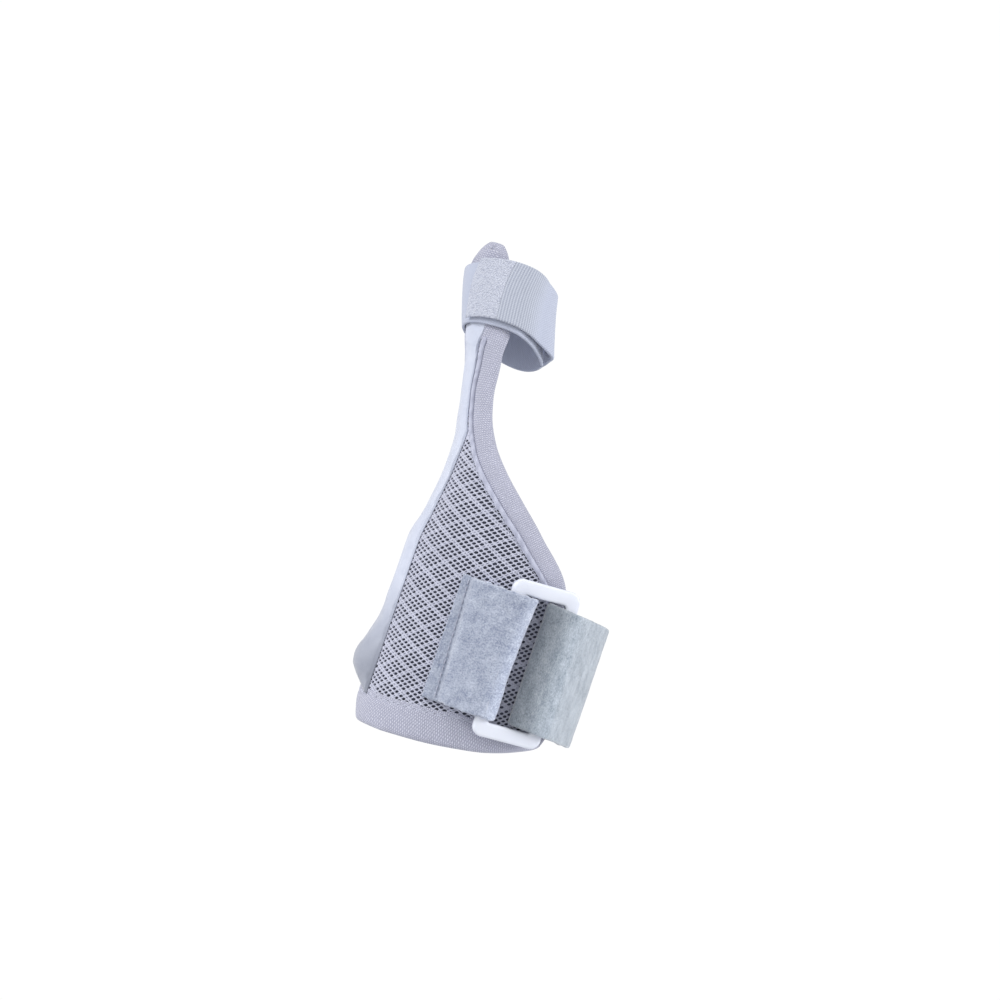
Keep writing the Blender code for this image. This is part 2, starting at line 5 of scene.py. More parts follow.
import bmesh
import bpy
import numpy as np
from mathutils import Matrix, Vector


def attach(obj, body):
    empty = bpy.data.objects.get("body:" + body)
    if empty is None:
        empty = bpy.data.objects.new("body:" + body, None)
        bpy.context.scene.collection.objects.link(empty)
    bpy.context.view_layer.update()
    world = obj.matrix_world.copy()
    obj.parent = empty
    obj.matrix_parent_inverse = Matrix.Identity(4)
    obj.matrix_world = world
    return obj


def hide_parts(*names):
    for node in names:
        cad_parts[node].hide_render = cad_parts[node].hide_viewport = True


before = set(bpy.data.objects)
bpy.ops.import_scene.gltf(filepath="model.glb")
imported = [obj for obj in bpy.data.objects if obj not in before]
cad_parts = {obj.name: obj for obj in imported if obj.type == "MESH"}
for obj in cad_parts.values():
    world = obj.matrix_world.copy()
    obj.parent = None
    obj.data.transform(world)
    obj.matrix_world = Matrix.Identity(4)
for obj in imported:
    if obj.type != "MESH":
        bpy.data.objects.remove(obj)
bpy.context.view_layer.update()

# Mesh panel
# The body of the splint is a flat-cut piece of spacer mesh: an open net face over a pile core, with
# a smooth tricot lining against the skin. It is wrapped round the wrist and narrows to a tongue.

MM = 0.001
ARM_TILT = math.radians(19)
WRIST_WIDTH, WRIST_DEPTH = 74 * MM, 50 * MM
THUMB_WIDTH, THUMB_DEPTH = 26 * MM, 23 * MM
CUFF_REACH, THUMB_REACH = 43.5 * MM, 149 * MM
THUMB_SHIFT, THUMB_LEAN = 38.5 * MM, 14 * MM
TONGUE_TURN = math.radians(50)
PANEL_THICKNESS = 3.6 * MM
GAP = 0.3 * MM

# Height as a share of the cuff or the thumb, then shift, narrowed, thinned, lean and turn
FORM_ROWS = [
    (-1.00, -0.02, 0.06, 0.03, 0.00, 0.00),
    (-0.72, 0.00, 0.00, 0.00, 0.00, 0.00),
    (0.19, 0.00, 0.00, 0.00, 0.00, 0.00),
    (0.30, 0.17, 0.38, 0.08, 0.00, 0.00),
    (0.40, 0.31, 0.67, 0.26, 0.05, 0.02),
    (0.50, 0.44, 0.86, 0.50, 0.14, 0.08),
    (0.60, 0.57, 0.96, 0.74, 0.28, 0.22),
    (0.70, 0.69, 1.00, 0.90, 0.44, 0.44),
    (0.80, 0.83, 1.00, 0.97, 0.63, 0.68),
    (0.90, 0.94, 1.00, 1.00, 0.82, 0.88),
    (1.00, 1.00, 1.04, 1.04, 1.00, 1.14),
]

# Height share, then half the panel's width as a share of half the girth
EDGE_ROWS = [
    (-1.00, 0.20), (-0.97, 0.38), (-0.93, 0.51), (-0.885, 0.62), (-0.79, 0.75), (-0.70, 0.835),
    (-0.55, 0.855), (-0.10, 0.83), (0.10, 0.785), (0.19, 0.722), (0.26, 0.694), (0.315, 0.648),
    (0.37, 0.575), (0.43, 0.480),
    (0.49, 0.393), (0.57, 0.316), (0.644, 0.290), (0.715, 0.290), (0.785, 0.330), (0.85, 0.325),
    (0.90, 0.27), (0.94, 0.195), (0.975, 0.115), (0.99, 0.062), (1.00, 0.02),
]


def read_table(rows, column, heights):
    """One column of a table at many heights, smooth and without overshoot."""
    x = np.array([row[0] * (CUFF_REACH if row[0] < 0 else THUMB_REACH) for row in rows])
    y = np.array([row[column] for row in rows], float)
    span = np.diff(x)
    slope = np.diff(y) / span
    product = slope[:-1] * slope[1:]
    level = np.where(product > 0, slope[:-1] + slope[1:], 1)
    tangent = np.concatenate([slope[:1], np.where(product > 0, 2 * product / level, 0), slope[-1:]])
    at = np.clip(heights, x[0], x[-1])
    i = np.clip(np.searchsorted(x, at, side="right") - 1, 0, len(span) - 1)
    t = (at - x[i]) / span[i]
    bend = t * (1 - t) * span[i] * ((1 - t) * tangent[i] - t * tangent[i + 1])
    return y[i] + (y[i + 1] - y[i]) * t * t * (3 - 2 * t) + bend


FORM_STEP = 0.5 * MM
form_heights = np.arange(-52 * MM, 156 * MM, FORM_STEP)
form_reaches = np.arange(-130 * MM, 170 * MM, FORM_STEP)
shift, narrowed, thinned, lean, turned = (read_table(FORM_ROWS, c, form_heights) for c in range(1, 6))
form_across = -THUMB_SHIFT * shift
form_back = THUMB_LEAN * lean
form_width = (WRIST_WIDTH + (THUMB_WIDTH - WRIST_WIDTH) * narrowed) / 2
form_depth = (WRIST_DEPTH + (THUMB_DEPTH - WRIST_DEPTH) * thinned) / 2
form_turn = TONGUE_TURN * turned
form_angle = []
for a, b, start in zip(form_width, form_depth, form_turn):
    sweep = np.radians(np.arange(-540, 540.1, 1.5))
    middles = start + (sweep[1:] + sweep[:-1]) / 2
    pace = np.hypot(a * np.sin(middles), b * np.cos(middles))
    run = np.concatenate([[0], np.cumsum(pace * np.diff(sweep))])
    run -= np.interp(0, sweep, run)
    form_angle.append(np.interp(form_reaches, run, sweep))
form_angle = np.array(form_angle)


def arm_place(height, reach, lift):
    """Points along the arm: height, reach round the hollow from the stay line, and lift off it."""
    height, reach, lift = np.broadcast_arrays(*(np.asarray(v, float) for v in (height, reach, lift)))
    row = np.clip((height - form_heights[0]) / FORM_STEP, 0, len(form_heights) - 1.001)
    col = np.clip((reach - form_reaches[0]) / FORM_STEP, 0, len(form_reaches) - 1.001)
    i, j = row.astype(int), col.astype(int)
    f, g = row - i, col - j
    across, back, a, b, turn = (
        table[i] * (1 - f) + table[i + 1] * f
        for table in (form_across, form_back, form_width, form_depth, form_turn)
    )
    low = form_angle[i, j] * (1 - g) + form_angle[i, j + 1] * g
    high = form_angle[i + 1, j] * (1 - g) + form_angle[i + 1, j + 1] * g
    angle = turn + low * (1 - f) + high * f
    c, s = np.cos(angle), np.sin(angle)
    size = np.hypot(c / a, s / b)
    return np.stack([across - a * c - c / a / size * lift, back - b * s - s / b / size * lift, height], -1)


def tilt(points):
    """From along the arm to the standing frame."""
    x, y, z = points[..., 0], points[..., 1], points[..., 2]
    c, s = math.cos(ARM_TILT), math.sin(ARM_TILT)
    return np.stack([x * c + z * s, y, z * c - x * s], -1)


def place(height, reach, lift):
    return tilt(arm_place(height, reach, lift))


def half_girth(height):
    a = np.interp(height, form_heights, form_width)
    b = np.interp(height, form_heights, form_depth)
    return math.pi * (3 * (a + b) - np.sqrt((3 * a + b) * (a + 3 * b))) / 2


def panel_half_width(height):
    return read_table(EDGE_ROWS, 1, np.asarray(height, float)) * half_girth(height)


def ramp(value, start, end):
    return np.clip((value - start) / (end - start), 0, 1)


SIDE_TAPE, CUFF_TAPE, TONGUE_TAPE = 4.8 * MM, 12 * MM, 4.2 * MM


def tape_width(height):
    """The edge tape's width: wide at the cuff, narrow up the tongue."""
    height = np.asarray(height, float)
    share = np.where(height < 0, height / CUFF_REACH, height / THUMB_REACH)
    wide, narrow = ramp(share, -0.70, -0.92), ramp(share, 0.48, 0.66)
    return SIDE_TAPE + (CUFF_TAPE - SIDE_TAPE) * wide + (TONGUE_TAPE - SIDE_TAPE) * narrow


def run_along(points):
    """How far along its rows each point of a path or a surface lies."""
    steps = np.linalg.norm(np.diff(points, axis=0), axis=-1)
    return np.concatenate([0 * steps[:1], np.cumsum(steps, 0)])


def unit(rows):
    """The same directions, each one long."""
    return rows / np.linalg.norm(rows, axis=1)[:, None]


def close_at_edges(count):
    """Places from -1 to 1, closer together towards both ends."""
    return np.sin(np.linspace(-math.pi / 2, math.pi / 2, count))


def resample(points, count):
    """The same path in even steps."""
    points = np.asarray(points, float)
    lengths = run_along(points)
    wanted = np.linspace(0, lengths[-1], count)
    return np.stack([np.interp(wanted, lengths, points[:, k]) for k in range(points.shape[1])], -1)


HALF_STATIONS = 260
TIP_HEIGHT = THUMB_REACH - 1.2 * MM
edge_heights = np.linspace(-CUFF_REACH, TIP_HEIGHT, 500)
palm_edge = np.concatenate([
    [(0.0, -CUFF_REACH)],
    np.stack([panel_half_width(edge_heights), edge_heights], -1),
    [(0.0, TIP_HEIGHT)],
])
palm_edge = resample(palm_edge, HALF_STATIONS)
whole_edge = np.concatenate([palm_edge, (palm_edge[1:-1] * (-1, 1))[::-1]])
NORMAL_REACH = 6
ahead = unit(np.roll(whole_edge, -NORMAL_REACH, 0) - np.roll(whole_edge, NORMAL_REACH, 0))
whole_inward = np.stack([-ahead[:, 1], ahead[:, 0]], -1)
palm_inward = whole_inward[:HALF_STATIONS]


def add_object(name, data):
    thing = bpy.data.objects.new(name, data)
    bpy.context.scene.collection.objects.link(thing)
    return thing


def add_mesh(name, points, faces, uv=None, weld=0.0):
    """A piece from points and faces, with a UV map in millimetres, welded and turned outward."""
    mesh = bpy.data.meshes.new(name)
    mesh.from_pydata(np.asarray(points).reshape(-1, 3).tolist(), [], [tuple(map(int, f)) for f in faces])
    if uv is not None:
        layer = mesh.uv_layers.new(name="mm")
        layer.data.foreach_set("uv", (np.asarray(uv, float) / MM).ravel())
    cage = bmesh.new()
    cage.from_mesh(mesh)
    if weld:
        bmesh.ops.remove_doubles(cage, verts=cage.verts, dist=weld)
        bmesh.ops.dissolve_degenerate(cage, edges=cage.edges, dist=weld)
    bmesh.ops.recalc_face_normals(cage, faces=cage.faces)
    cage.to_mesh(mesh)
    cage.free()
    mesh.shade_smooth()
    piece = add_object(name, mesh)
    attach(piece, "root")
    return piece


def to_linear(text):
    """A colour of the scene from its sRGB hex value."""
    parts = [int(text[i : i + 2], 16) / 255 for i in (1, 3, 5)]
    return tuple(v / 12.92 if v <= 0.04045 else ((v + 0.055) / 1.055) ** 2.4 for v in parts) + (1.0,)


def add_node(tree, kind, settings=None, **links):
    """A new node, or one that is there, with its settings and with links, colours or values put in."""
    item = tree.nodes.new("ShaderNode" + kind) if isinstance(kind, str) else kind
    for key, value in (settings or {}).items():
        setattr(item, key, value)
    for key, value in links.items():
        numbered = key[0] == "i" and key[1:].isdigit()
        socket = item.inputs[int(key[1:]) if numbered else key.replace("_", " ")]
        if isinstance(value, bpy.types.NodeSocket):
            tree.links.new(value, socket)
        else:
            socket.default_value = to_linear(value) if isinstance(value, str) else value
    return item


def new_material(name, uv=False):
    """A material with its tree, its shader, and where a point lies: on the object or in its UV map."""
    material = bpy.data.materials.new(name)
    material.use_nodes = True
    tree = material.node_tree
    if uv:
        where = add_node(tree, "UVMap", {"uv_map": "mm"}).outputs["UV"]
    else:
        where = add_node(tree, "TexCoord").outputs["Object"]
    return material, tree, tree.nodes["Principled BSDF"], where


def set_cloth(shader, sheen=0.25, roughness=0.9):
    """Typical values for textile fibre: IOR of polyester, soft sheen, hardly any gloss."""
    shader.inputs["IOR"].default_value = 1.5
    shader.inputs["Specular IOR Level"].default_value = 0.25
    shader.inputs["Sheen Weight"].default_value = sheen
    shader.inputs["Sheen Roughness"].default_value = 0.45
    shader.inputs["Roughness"].default_value = roughness


# Knitted polyester yarn, heat-set: a soft even lavender grey with paler crests where fibres catch light
yarn, tree, shader, where = new_material("knitted_polyester_yarn")
set_cloth(shader, sheen=0.35)
YARN_FIBRE = 0.35  # mm, drawn about ten times coarser than a filament so that it shows
fibre = add_node(tree, "TexNoise", Vector=where, Scale=1000 / YARN_FIBRE, Detail=2.0)
patch = add_node(tree, "TexNoise", Vector=where, Scale=120.0, Detail=2.0)
blend = add_node(
    tree, "Mix", {"data_type": "RGBA"}, Factor=fibre.outputs["Fac"], i6="#A6A9BC", i7="#CFD1DF",
)
shade = add_node(tree, "MapRange", Value=patch.outputs["Fac"], To_Min=0.86, To_Max=1.06)
tone = add_node(tree, "HueSaturation", Color=blend.outputs[2], Value=shade.outputs["Result"])
relief = add_node(tree, "Bump", Height=fibre.outputs["Fac"], Strength=0.5, Distance=0.0002)
add_node(tree, shader, Base_Color=tone.outputs["Color"], Normal=relief.outputs["Normal"])

# Spacer pile between the two faces: fine upright monofilament, coloured dark grey as painted shade down the
# holes, though the real pile is pale
pile, tree, shader, where = new_material("spacer_pile_core_painted_shade")
set_cloth(shader, sheen=0.0)
stubble = add_node(tree, "TexNoise", Vector=where, Scale=2200.0, Detail=1.0)
blend = add_node(
    tree, "Mix", {"data_type": "RGBA"}, Factor=stubble.outputs["Fac"], i6="#343744", i7="#6A6D7D",
)
add_node(tree, shader, Base_Color=blend.outputs[2])

# Brushed tricot lining: pale and matt with a fine knit
lining, tree, shader, where = new_material("tricot_lining")
set_cloth(shader, sheen=0.3)
LINING_WALE = 0.9  # mm between knit wales, drawn a little coarse
knit = add_node(tree, "TexVoronoi", {"feature": "F1"}, Vector=where, Scale=1000 / LINING_WALE)
blend = add_node(
    tree, "Mix", {"data_type": "RGBA"}, Factor=knit.outputs["Distance"], i6="#C6CAD9", i7="#A3A7B8",
)
relief = add_node(tree, "Bump", Height=knit.outputs["Distance"], Strength=0.4, Distance=0.0002)
relief.invert = True
add_node(tree, shader, Base_Color=blend.outputs[2], Normal=relief.outputs["Normal"])

NET_DEPTH = 1.1 * MM
EDGE_SETBACK = 1.0 * MM
PRESSED_EDGE = 0.6 * MM
spine_foot = -CUFF_REACH + CUFF_TAPE + 3 * MM
spine_head = THUMB_REACH - TONGUE_TAPE - 4 * MM
stations = np.arange(0, HALF_STATIONS, 2)
outer, inner = [], []
for station in stations:
    (reach, height), into = palm_edge[station], palm_inward[station]
    tape = float(tape_width(height))
    insets = [EDGE_SETBACK, tape / 2, tape, tape + 1.2 * MM]
    side = [(reach + into[0] * d, height + into[1] * d) for d in insets]
    spine = spine_foot + (spine_head - spine_foot) * (station / (HALF_STATIONS - 1)) ** 1.6
    r, h = side[-1]
    side += [(r * (1 - k), spine + (h - spine) * (1 - k)) for k in np.linspace(0, 1, 22)[1:]]
    side = np.array(side)
    pressed = np.array([1, 1, 1] + [0] * (len(side) - 3))
    high = np.where(pressed, (PANEL_THICKNESS + PRESSED_EDGE) / 2, PANEL_THICKNESS - NET_DEPTH)
    low = np.where(pressed, (PANEL_THICKNESS - PRESSED_EDGE) / 2, 0)
    for lift, rows in ((high, outer), (low, inner)):
        palm = place(side[:, 1], side[:, 0], lift)
        back = place(side[:-1, 1], -side[:-1, 0], lift[:-1])
        rows.append(np.concatenate([back, palm[::-1]]))
outer, inner = np.array(outer), np.array(inner)
rows, columns = outer.shape[:2]
grid = np.arange(rows * columns).reshape(rows, columns)
quads = np.stack([grid[:-1, :-1], grid[:-1, 1:], grid[1:, 1:], grid[1:, :-1]], -1).reshape(-1, 4)
faces = list(quads) + list(quads[:, ::-1] + rows * columns)
for run in (grid[:, 0], grid[::-1, -1]):
    faces += [(a, b, b + rows * columns, a + rows * columns) for a, b in zip(run, run[1:])]
pad = add_mesh("mesh_pad", np.concatenate([outer.reshape(-1, 3), inner.reshape(-1, 3)]), faces, weld=1e-6)
pad.data.materials.append(pile)
pad.data.materials.append(lining)
c, s = math.cos(ARM_TILT), math.sin(ARM_TILT)
for face in pad.data.polygons:
    x, y, z = face.center
    height = x * s + z * c
    across = x * c - z * s - np.interp(height, form_heights, form_across)
    behind = y - np.interp(height, form_heights, form_back)
    outward = across * (face.normal[0] * c - face.normal[2] * s) + behind * face.normal[1]
    face.material_index = 1 if outward < 0 else 0
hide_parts("mesh_panel")

# The net face: groups of four by four slanted eyelets, parted by closed bands, in one lattice
GROUP_A = np.array((6.39, 5.67)) * MM
GROUP_B = np.array((6.53, -3.13)) * MM
GROUP_CELLS = 5
GROUPS_EACH_WAY = 34
LATTICE_FOOT = 20 * MM
KNOT_SCATTER = 0.05 * MM
LINES_A = np.array((0.0, 0.22, 0.44, 0.66, 0.88, 1.0))
LINES_B = np.array((0.0, 0.222, 0.444, 0.666, 0.888, 1.0))
STRAND = 0.13  # half a strand, as a share of an eyelet's cell
CREST_DROP = 0.16 * MM
WALL_DROP = 0.85 * MM
BAND_DROP = 0.6 * MM
BAND_STRAND = 0.25
NET_CLOSED_ABOVE = 72 * MM  # the sleeve's seam allowance lies under the net in the neck


def edge_distance(points):
    """How far points of (reach, height) lie inside the panel's edge, negative outside."""
    loop = whole_edge[::3]
    start, end = loop, np.roll(loop, -1, 0)
    along = end - start
    offset = points[:, None] - start[None]
    t = np.clip((offset * along).sum(-1) / (along**2).sum(-1), 0, 1)
    near = np.linalg.norm(offset - along * t[..., None], axis=-1).min(1)
    half = panel_half_width(points[:, 1])
    inside = (np.abs(points[:, 0]) < half) & (points[:, 1] > -CUFF_REACH) & (points[:, 1] < THUMB_REACH)
    return np.where(inside, near, -near)


SLEEVE_WIDTH, SLEEVE_HEAD = 21 * MM, 121 * MM
NET_HIDDEN_FROM = -25 * MM  # between here and the sleeve's head no net is seen under the sleeve
dice = np.random.default_rng(7)
cells = np.arange(-GROUPS_EACH_WAY * GROUP_CELLS, GROUPS_EACH_WAY * GROUP_CELLS + 1)
ia, ib = np.meshgrid(cells, cells, indexing="ij")
ka = np.floor_divide(ia, GROUP_CELLS) + LINES_A[np.mod(ia, GROUP_CELLS)]
kb = np.floor_divide(ib, GROUP_CELLS) + LINES_B[np.mod(ib, GROUP_CELLS)]
knots = ka[..., None] * GROUP_A + kb[..., None] * GROUP_B + (0, LATTICE_FOOT)
knots = knots + dice.normal(0, KNOT_SCATTER, knots.shape)
corner = np.stack([knots[:-1, :-1], knots[1:, :-1], knots[1:, 1:], knots[:-1, 1:]], 2)
last = GROUP_CELLS - 1
closed = ((np.mod(ia, GROUP_CELLS) == last) | (np.mod(ib, GROUP_CELLS) == last))[:-1, :-1]
ids = np.arange(knots.shape[0] * knots.shape[1]).reshape(knots.shape[:2])
corner_ids = np.stack([ids[:-1, :-1], ids[1:, :-1], ids[1:, 1:], ids[:-1, 1:]], -1)
middle = corner.mean(2).reshape(-1, 2)
rough = (np.abs(middle[:, 0]) < 100 * MM) & (middle[:, 1] > -CUFF_REACH) & (middle[:, 1] < THUMB_REACH)
picked = np.flatnonzero(rough)
across, height = middle[picked].T
tape_here = tape_width(height)
sleeve_half = np.minimum(SLEEVE_WIDTH / 2, panel_half_width(height) - tape_here - 4 * MM)
under_sleeve = (height > NET_HIDDEN_FROM) & (height < SLEEVE_HEAD - 2 * MM)
covered = (np.abs(across) < sleeve_half - 1.0 * MM) & under_sleeve
picked = picked[(edge_distance(middle[picked]) > tape_here - 1.3 * MM) & ~covered]
neck = middle[picked, 1] > NET_CLOSED_ABOVE
corner = corner.reshape(-1, 4, 2)[picked]
corner_ids = corner_ids.reshape(-1, 4)[picked]
closed = closed.ravel()[picked] | neck
used, compact = np.unique(corner_ids, return_inverse=True)
compact = compact.reshape(-1, 4)
flat_knots = knots.reshape(-1, 2)[used]
count = len(corner)
eyelet = dice.uniform(0.9, 1.12, count)[:, None]
inset = np.where(neck, 1.5 * BAND_STRAND, np.where(closed, BAND_STRAND, STRAND))[:, None] / eyelet
ring = []
for k in range(4):
    here, after, before = corner[:, k], corner[:, (k + 1) % 4], corner[:, k - 1]
    home = here + (after - here) * inset + (before - here) * inset
    ring.append(home + (before - here) * (0.5 - inset) * 0.55)
    ring.append(home + (after - here) * (0.5 - inset) * 0.55)
ring = np.stack(ring, 1)


def net_lift(points):
    """The net's crests lie at the panel's face and dip under the edge tape."""
    under = np.exp(-np.clip(edge_distance(points) - tape_width(points[:, 1]), -2 * MM, None) / (0.9 * MM))
    return PANEL_THICKNESS - np.clip(0.5 * MM * under, 0, 0.9 * MM)


crest_points = place(flat_knots[:, 1], flat_knots[:, 0], net_lift(flat_knots))
flat_ring = ring.reshape(-1, 2)
ring_lift = net_lift(flat_ring)
rim_points = place(flat_ring[:, 1], flat_ring[:, 0], ring_lift - CREST_DROP)
depth = np.repeat(np.where(neck, 0.55 * BAND_DROP, np.where(closed, BAND_DROP, WALL_DROP)), 8)
wall_points = place(flat_ring[:, 1], flat_ring[:, 0], ring_lift - depth)
base_rim = len(used)
base_wall = base_rim + count * 8
faces = []
for cell in range(count):
    rim = [base_rim + cell * 8 + k for k in range(8)]
    wall = [base_wall + cell * 8 + k for k in range(8)]
    for k in range(4):
        here, after = compact[cell, k], compact[cell, (k + 1) % 4]
        faces.append((here, rim[2 * k + 1], rim[2 * k]))
        faces.append((here, after, rim[(2 * k + 2) % 8], rim[2 * k + 1]))
    for k in range(8):
        faces.append((rim[k], rim[(k + 1) % 8], wall[(k + 1) % 8], wall[k]))
    if closed[cell]:
        faces.append(tuple(wall))
net = add_mesh("mesh_net", np.concatenate([crest_points, rim_points, wall_points]), faces)
net.data.materials.append(yarn)

# Edge tape
# A polyester twill tape folded over the panel's cut edge and lockstitched through all layers.
# It is wide round the cuff, narrows up the tongue, and is puffed a little between fold and stitch.

TAPE_THICKNESS = 0.9 * MM
STITCH_INSET = 1.6 * MM
STITCH_PITCH = 2.7 * MM
TAPE_STEP, GROOVE_WIDTH = 0.5 * MM, 0.4 * MM  # between the tape's cut edge and the cord
CORD_ALLOWANCE, TIP_ALLOWANCE = 1.9 * MM, 5 * MM  # the tape is wider by this beside the cord and at the tip


def ring_faces(rows, around, closed_rows=False):
    """Quads of a tube of rows, each a closed ring of points."""
    grid = np.arange(rows * around).reshape(rows, around)
    below, above = (grid, np.roll(grid, -1, 0)) if closed_rows else (grid[:-1], grid[1:])
    quads = np.stack([below, np.roll(below, -1, 1), np.roll(above, -1, 1), above], -1)
    return quads.reshape(-1, 4)


def corner_uv(u, v):
    """The UV of the quads between rings, corner by corner."""
    quads = []
    for grid in (u, v):
        below, above = grid[:-1], grid[1:]
        corners = np.stack([below, np.roll(below, -1, 1), np.roll(above, -1, 1), above], -1)
        quads.append(corners.reshape(-1))
    return list(np.stack(quads, -1))


def close_ends(faces, uv, u, v):
    """Quads over both ends of a flattened tube, whose rings go out on one side and back on the other."""
    rows, around = u.shape
    for row in (0, rows - 1):
        for k in range(around // 2 - 1):
            ids = (k, k + 1, around - 2 - k, around - 1 - k)
            faces.append(tuple(row * around + i for i in ids))
            uv += [(u[row, i], v[row, i]) for i in ids]


def strip_parts(middle, half, along, across, closed_rows=False):
    """A strip of cloth from its middle surface, half its thickness, and its place along and across it."""
    step = np.roll(middle, -1, 0) - np.roll(middle, 1, 0) if closed_rows else np.gradient(middle, axis=0)
    out = np.cross(step, np.gradient(middle, axis=1))
    out /= np.maximum(np.linalg.norm(out, axis=-1), 1e-12)[..., None]
    half = np.broadcast_to(half, middle.shape[:2])[..., None]
    upper, lower = middle + out * half, middle - out * half
    rings = np.concatenate([upper, lower[:, ::-1]], 1)
    rows, around = rings.shape[:2]
    faces = [tuple(f) for f in ring_faces(rows, around, closed_rows)]
    u = np.concatenate([along, along[:, ::-1]], 1)
    v = np.concatenate([across, across[:, ::-1]], 1)
    if closed_rows:
        u = np.concatenate([u, u[:1] + 2 * u[-1:] - u[-2:-1]], 0)
        v = np.concatenate([v, v[:1]], 0)
    uv = corner_uv(u, v)
    if not closed_rows:
        close_ends(faces, uv, u, v)
    return rings.reshape(-1, 3), faces, uv


def add_strip(name, *surface):
    return add_mesh(name, *strip_parts(*surface))


# Woven twill: fine diagonal ribs, pale where the warp floats, darker in the furrows
twill, tree, shader, where = new_material("woven_polyester_twill", uv=True)
set_cloth(shader, sheen=0.3, roughness=0.85)
TWILL_PITCH = 0.85  # mm between diagonals; the real 0.5 mm would not show
drift = add_node(tree, "TexNoise", Vector=where, Scale=0.9, Detail=2.0)
moved = add_node(
    tree, "VectorMath", {"operation": "MULTIPLY_ADD"}, i0=drift.outputs["Color"], i2=where,
    i1=(0.5, 0.5, 0.0),
)
ribs = add_node(
    tree, "TexWave", {"wave_type": "BANDS", "bands_direction": "DIAGONAL"},
    Vector=moved.outputs["Vector"], Scale=0.5 / TWILL_PITCH, Distortion=0.6, Detail=1.0,
)
picks = add_node(
    tree, "TexWave", {"wave_type": "BANDS", "bands_direction": "X"}, Vector=moved.outputs["Vector"],
    Scale=0.32 / TWILL_PITCH, Distortion=0.3, Detail=0.0,
)
weave = add_node(tree, "Math", {"operation": "MULTIPLY"}, i0=ribs.outputs["Fac"], i1=picks.outputs["Fac"])
blend = add_node(tree, "Mix", {"data_type": "RGBA"}, Factor=weave.outputs[0], i6="#9C9EB1", i7="#D8D9E6")
soil = add_node(tree, "TexNoise", Vector=where, Scale=0.12, Detail=3.0)
shade = add_node(tree, "MapRange", Value=soil.outputs["Fac"], To_Min=0.9, To_Max=1.06)
tone = add_node(tree, "HueSaturation", Color=blend.outputs[2], Value=shade.outputs["Result"])
relief = add_node(tree, "Bump", Height=weave.outputs[0], Strength=0.7, Distance=0.0003)
add_node(tree, shader, Base_Color=tone.outputs["Color"], Normal=relief.outputs["Normal"])

edge_run = run_along(whole_edge)
widths = tape_width(whole_edge[:, 1])[:, None]
edge_heights_round = whole_edge[:, 1:]
cord_zone = ramp(edge_heights_round, 12 * MM, 24 * MM) * ramp(edge_heights_round, 122 * MM, 114 * MM)
tip_zone = ramp(edge_heights_round, 141 * MM, 145 * MM)
to_stay_line = (np.abs(whole_edge[:, :1]) - 0.1 * MM) / np.maximum(np.abs(whole_inward[:, :1]), 0.08)
room = np.where(edge_heights_round > 0, np.maximum(to_stay_line, 1.2 * MM), 1.0)
face_widths = np.minimum(widths + CORD_ALLOWANCE * cord_zone + TIP_ALLOWANCE * tip_zone, room)
seam_back = np.minimum(STITCH_INSET - 1.0 * MM * cord_zone, face_widths / 2)
flange = np.linspace(1, 0, 15) ** 0.9
fold = np.radians(np.linspace(0, 180, 11))[1:-1]
middle_lift = PANEL_THICKNESS / 2
FOLD_RADIUS = 1.35 * MM
flat_start = 0.6 * MM
top_inset = flat_start + (face_widths - flat_start) * flange
groove = np.exp(-(((top_inset - (face_widths - seam_back)) / (0.55 * MM)) ** 2))
body = np.clip(top_inset / (face_widths - seam_back), 0, 1)
pucker = 0.5 + 0.5 * np.cos(2 * math.pi * edge_run[:, None] / STITCH_PITCH)
swell = np.sin(math.pi * body) ** 0.8 * (0.38 + 0.1 * np.sin(edge_run[:, None] / (9 * MM))) * MM
flap = ramp(top_inset, face_widths - seam_back, face_widths) * 0.22 * MM
wave = (0.12 + 0.10 * pucker) * groove * MM
top_lift = middle_lift + FOLD_RADIUS + swell * (0.85 + 0.15 * pucker) - 0.28 * MM * groove - wave + flap
ragged = 0.22 * MM * np.sin(edge_run / (1.1 * MM)) * np.sin(edge_run / (3.7 * MM))
top_inset = top_inset + ragged[:, None] * ramp(flange, 0.8, 1.0)
fold_inset = np.broadcast_to(flat_start - FOLD_RADIUS * np.sin(fold), (len(whole_edge), len(fold)))
fold_lift = np.broadcast_to(middle_lift + FOLD_RADIUS * np.cos(fold), fold_inset.shape)
under_inset = (flat_start + (np.minimum(widths, room) - flat_start) * flange)[:, ::-1]
under_lift = np.full(under_inset.shape, middle_lift - FOLD_RADIUS)
insets = np.concatenate([top_inset, fold_inset, under_inset], 1)
lifts = np.concatenate([top_lift, fold_lift, under_lift], 1)
spots = whole_edge[:, None] + whole_inward[:, None] * insets[..., None]
middle = place(spots[..., 1], spots[..., 0], lifts)
half = np.full(insets.shape[1], TAPE_THICKNESS / 2)
half[[0, -1]] *= 0.35
half[[1, -2]] *= 0.9
along = np.broadcast_to(edge_run[:, None], insets.shape)
across = np.cumsum(np.full(insets.shape, 0.7 * MM), 1)
rings, faces, uv = strip_parts(middle, half[None], along, across, True)

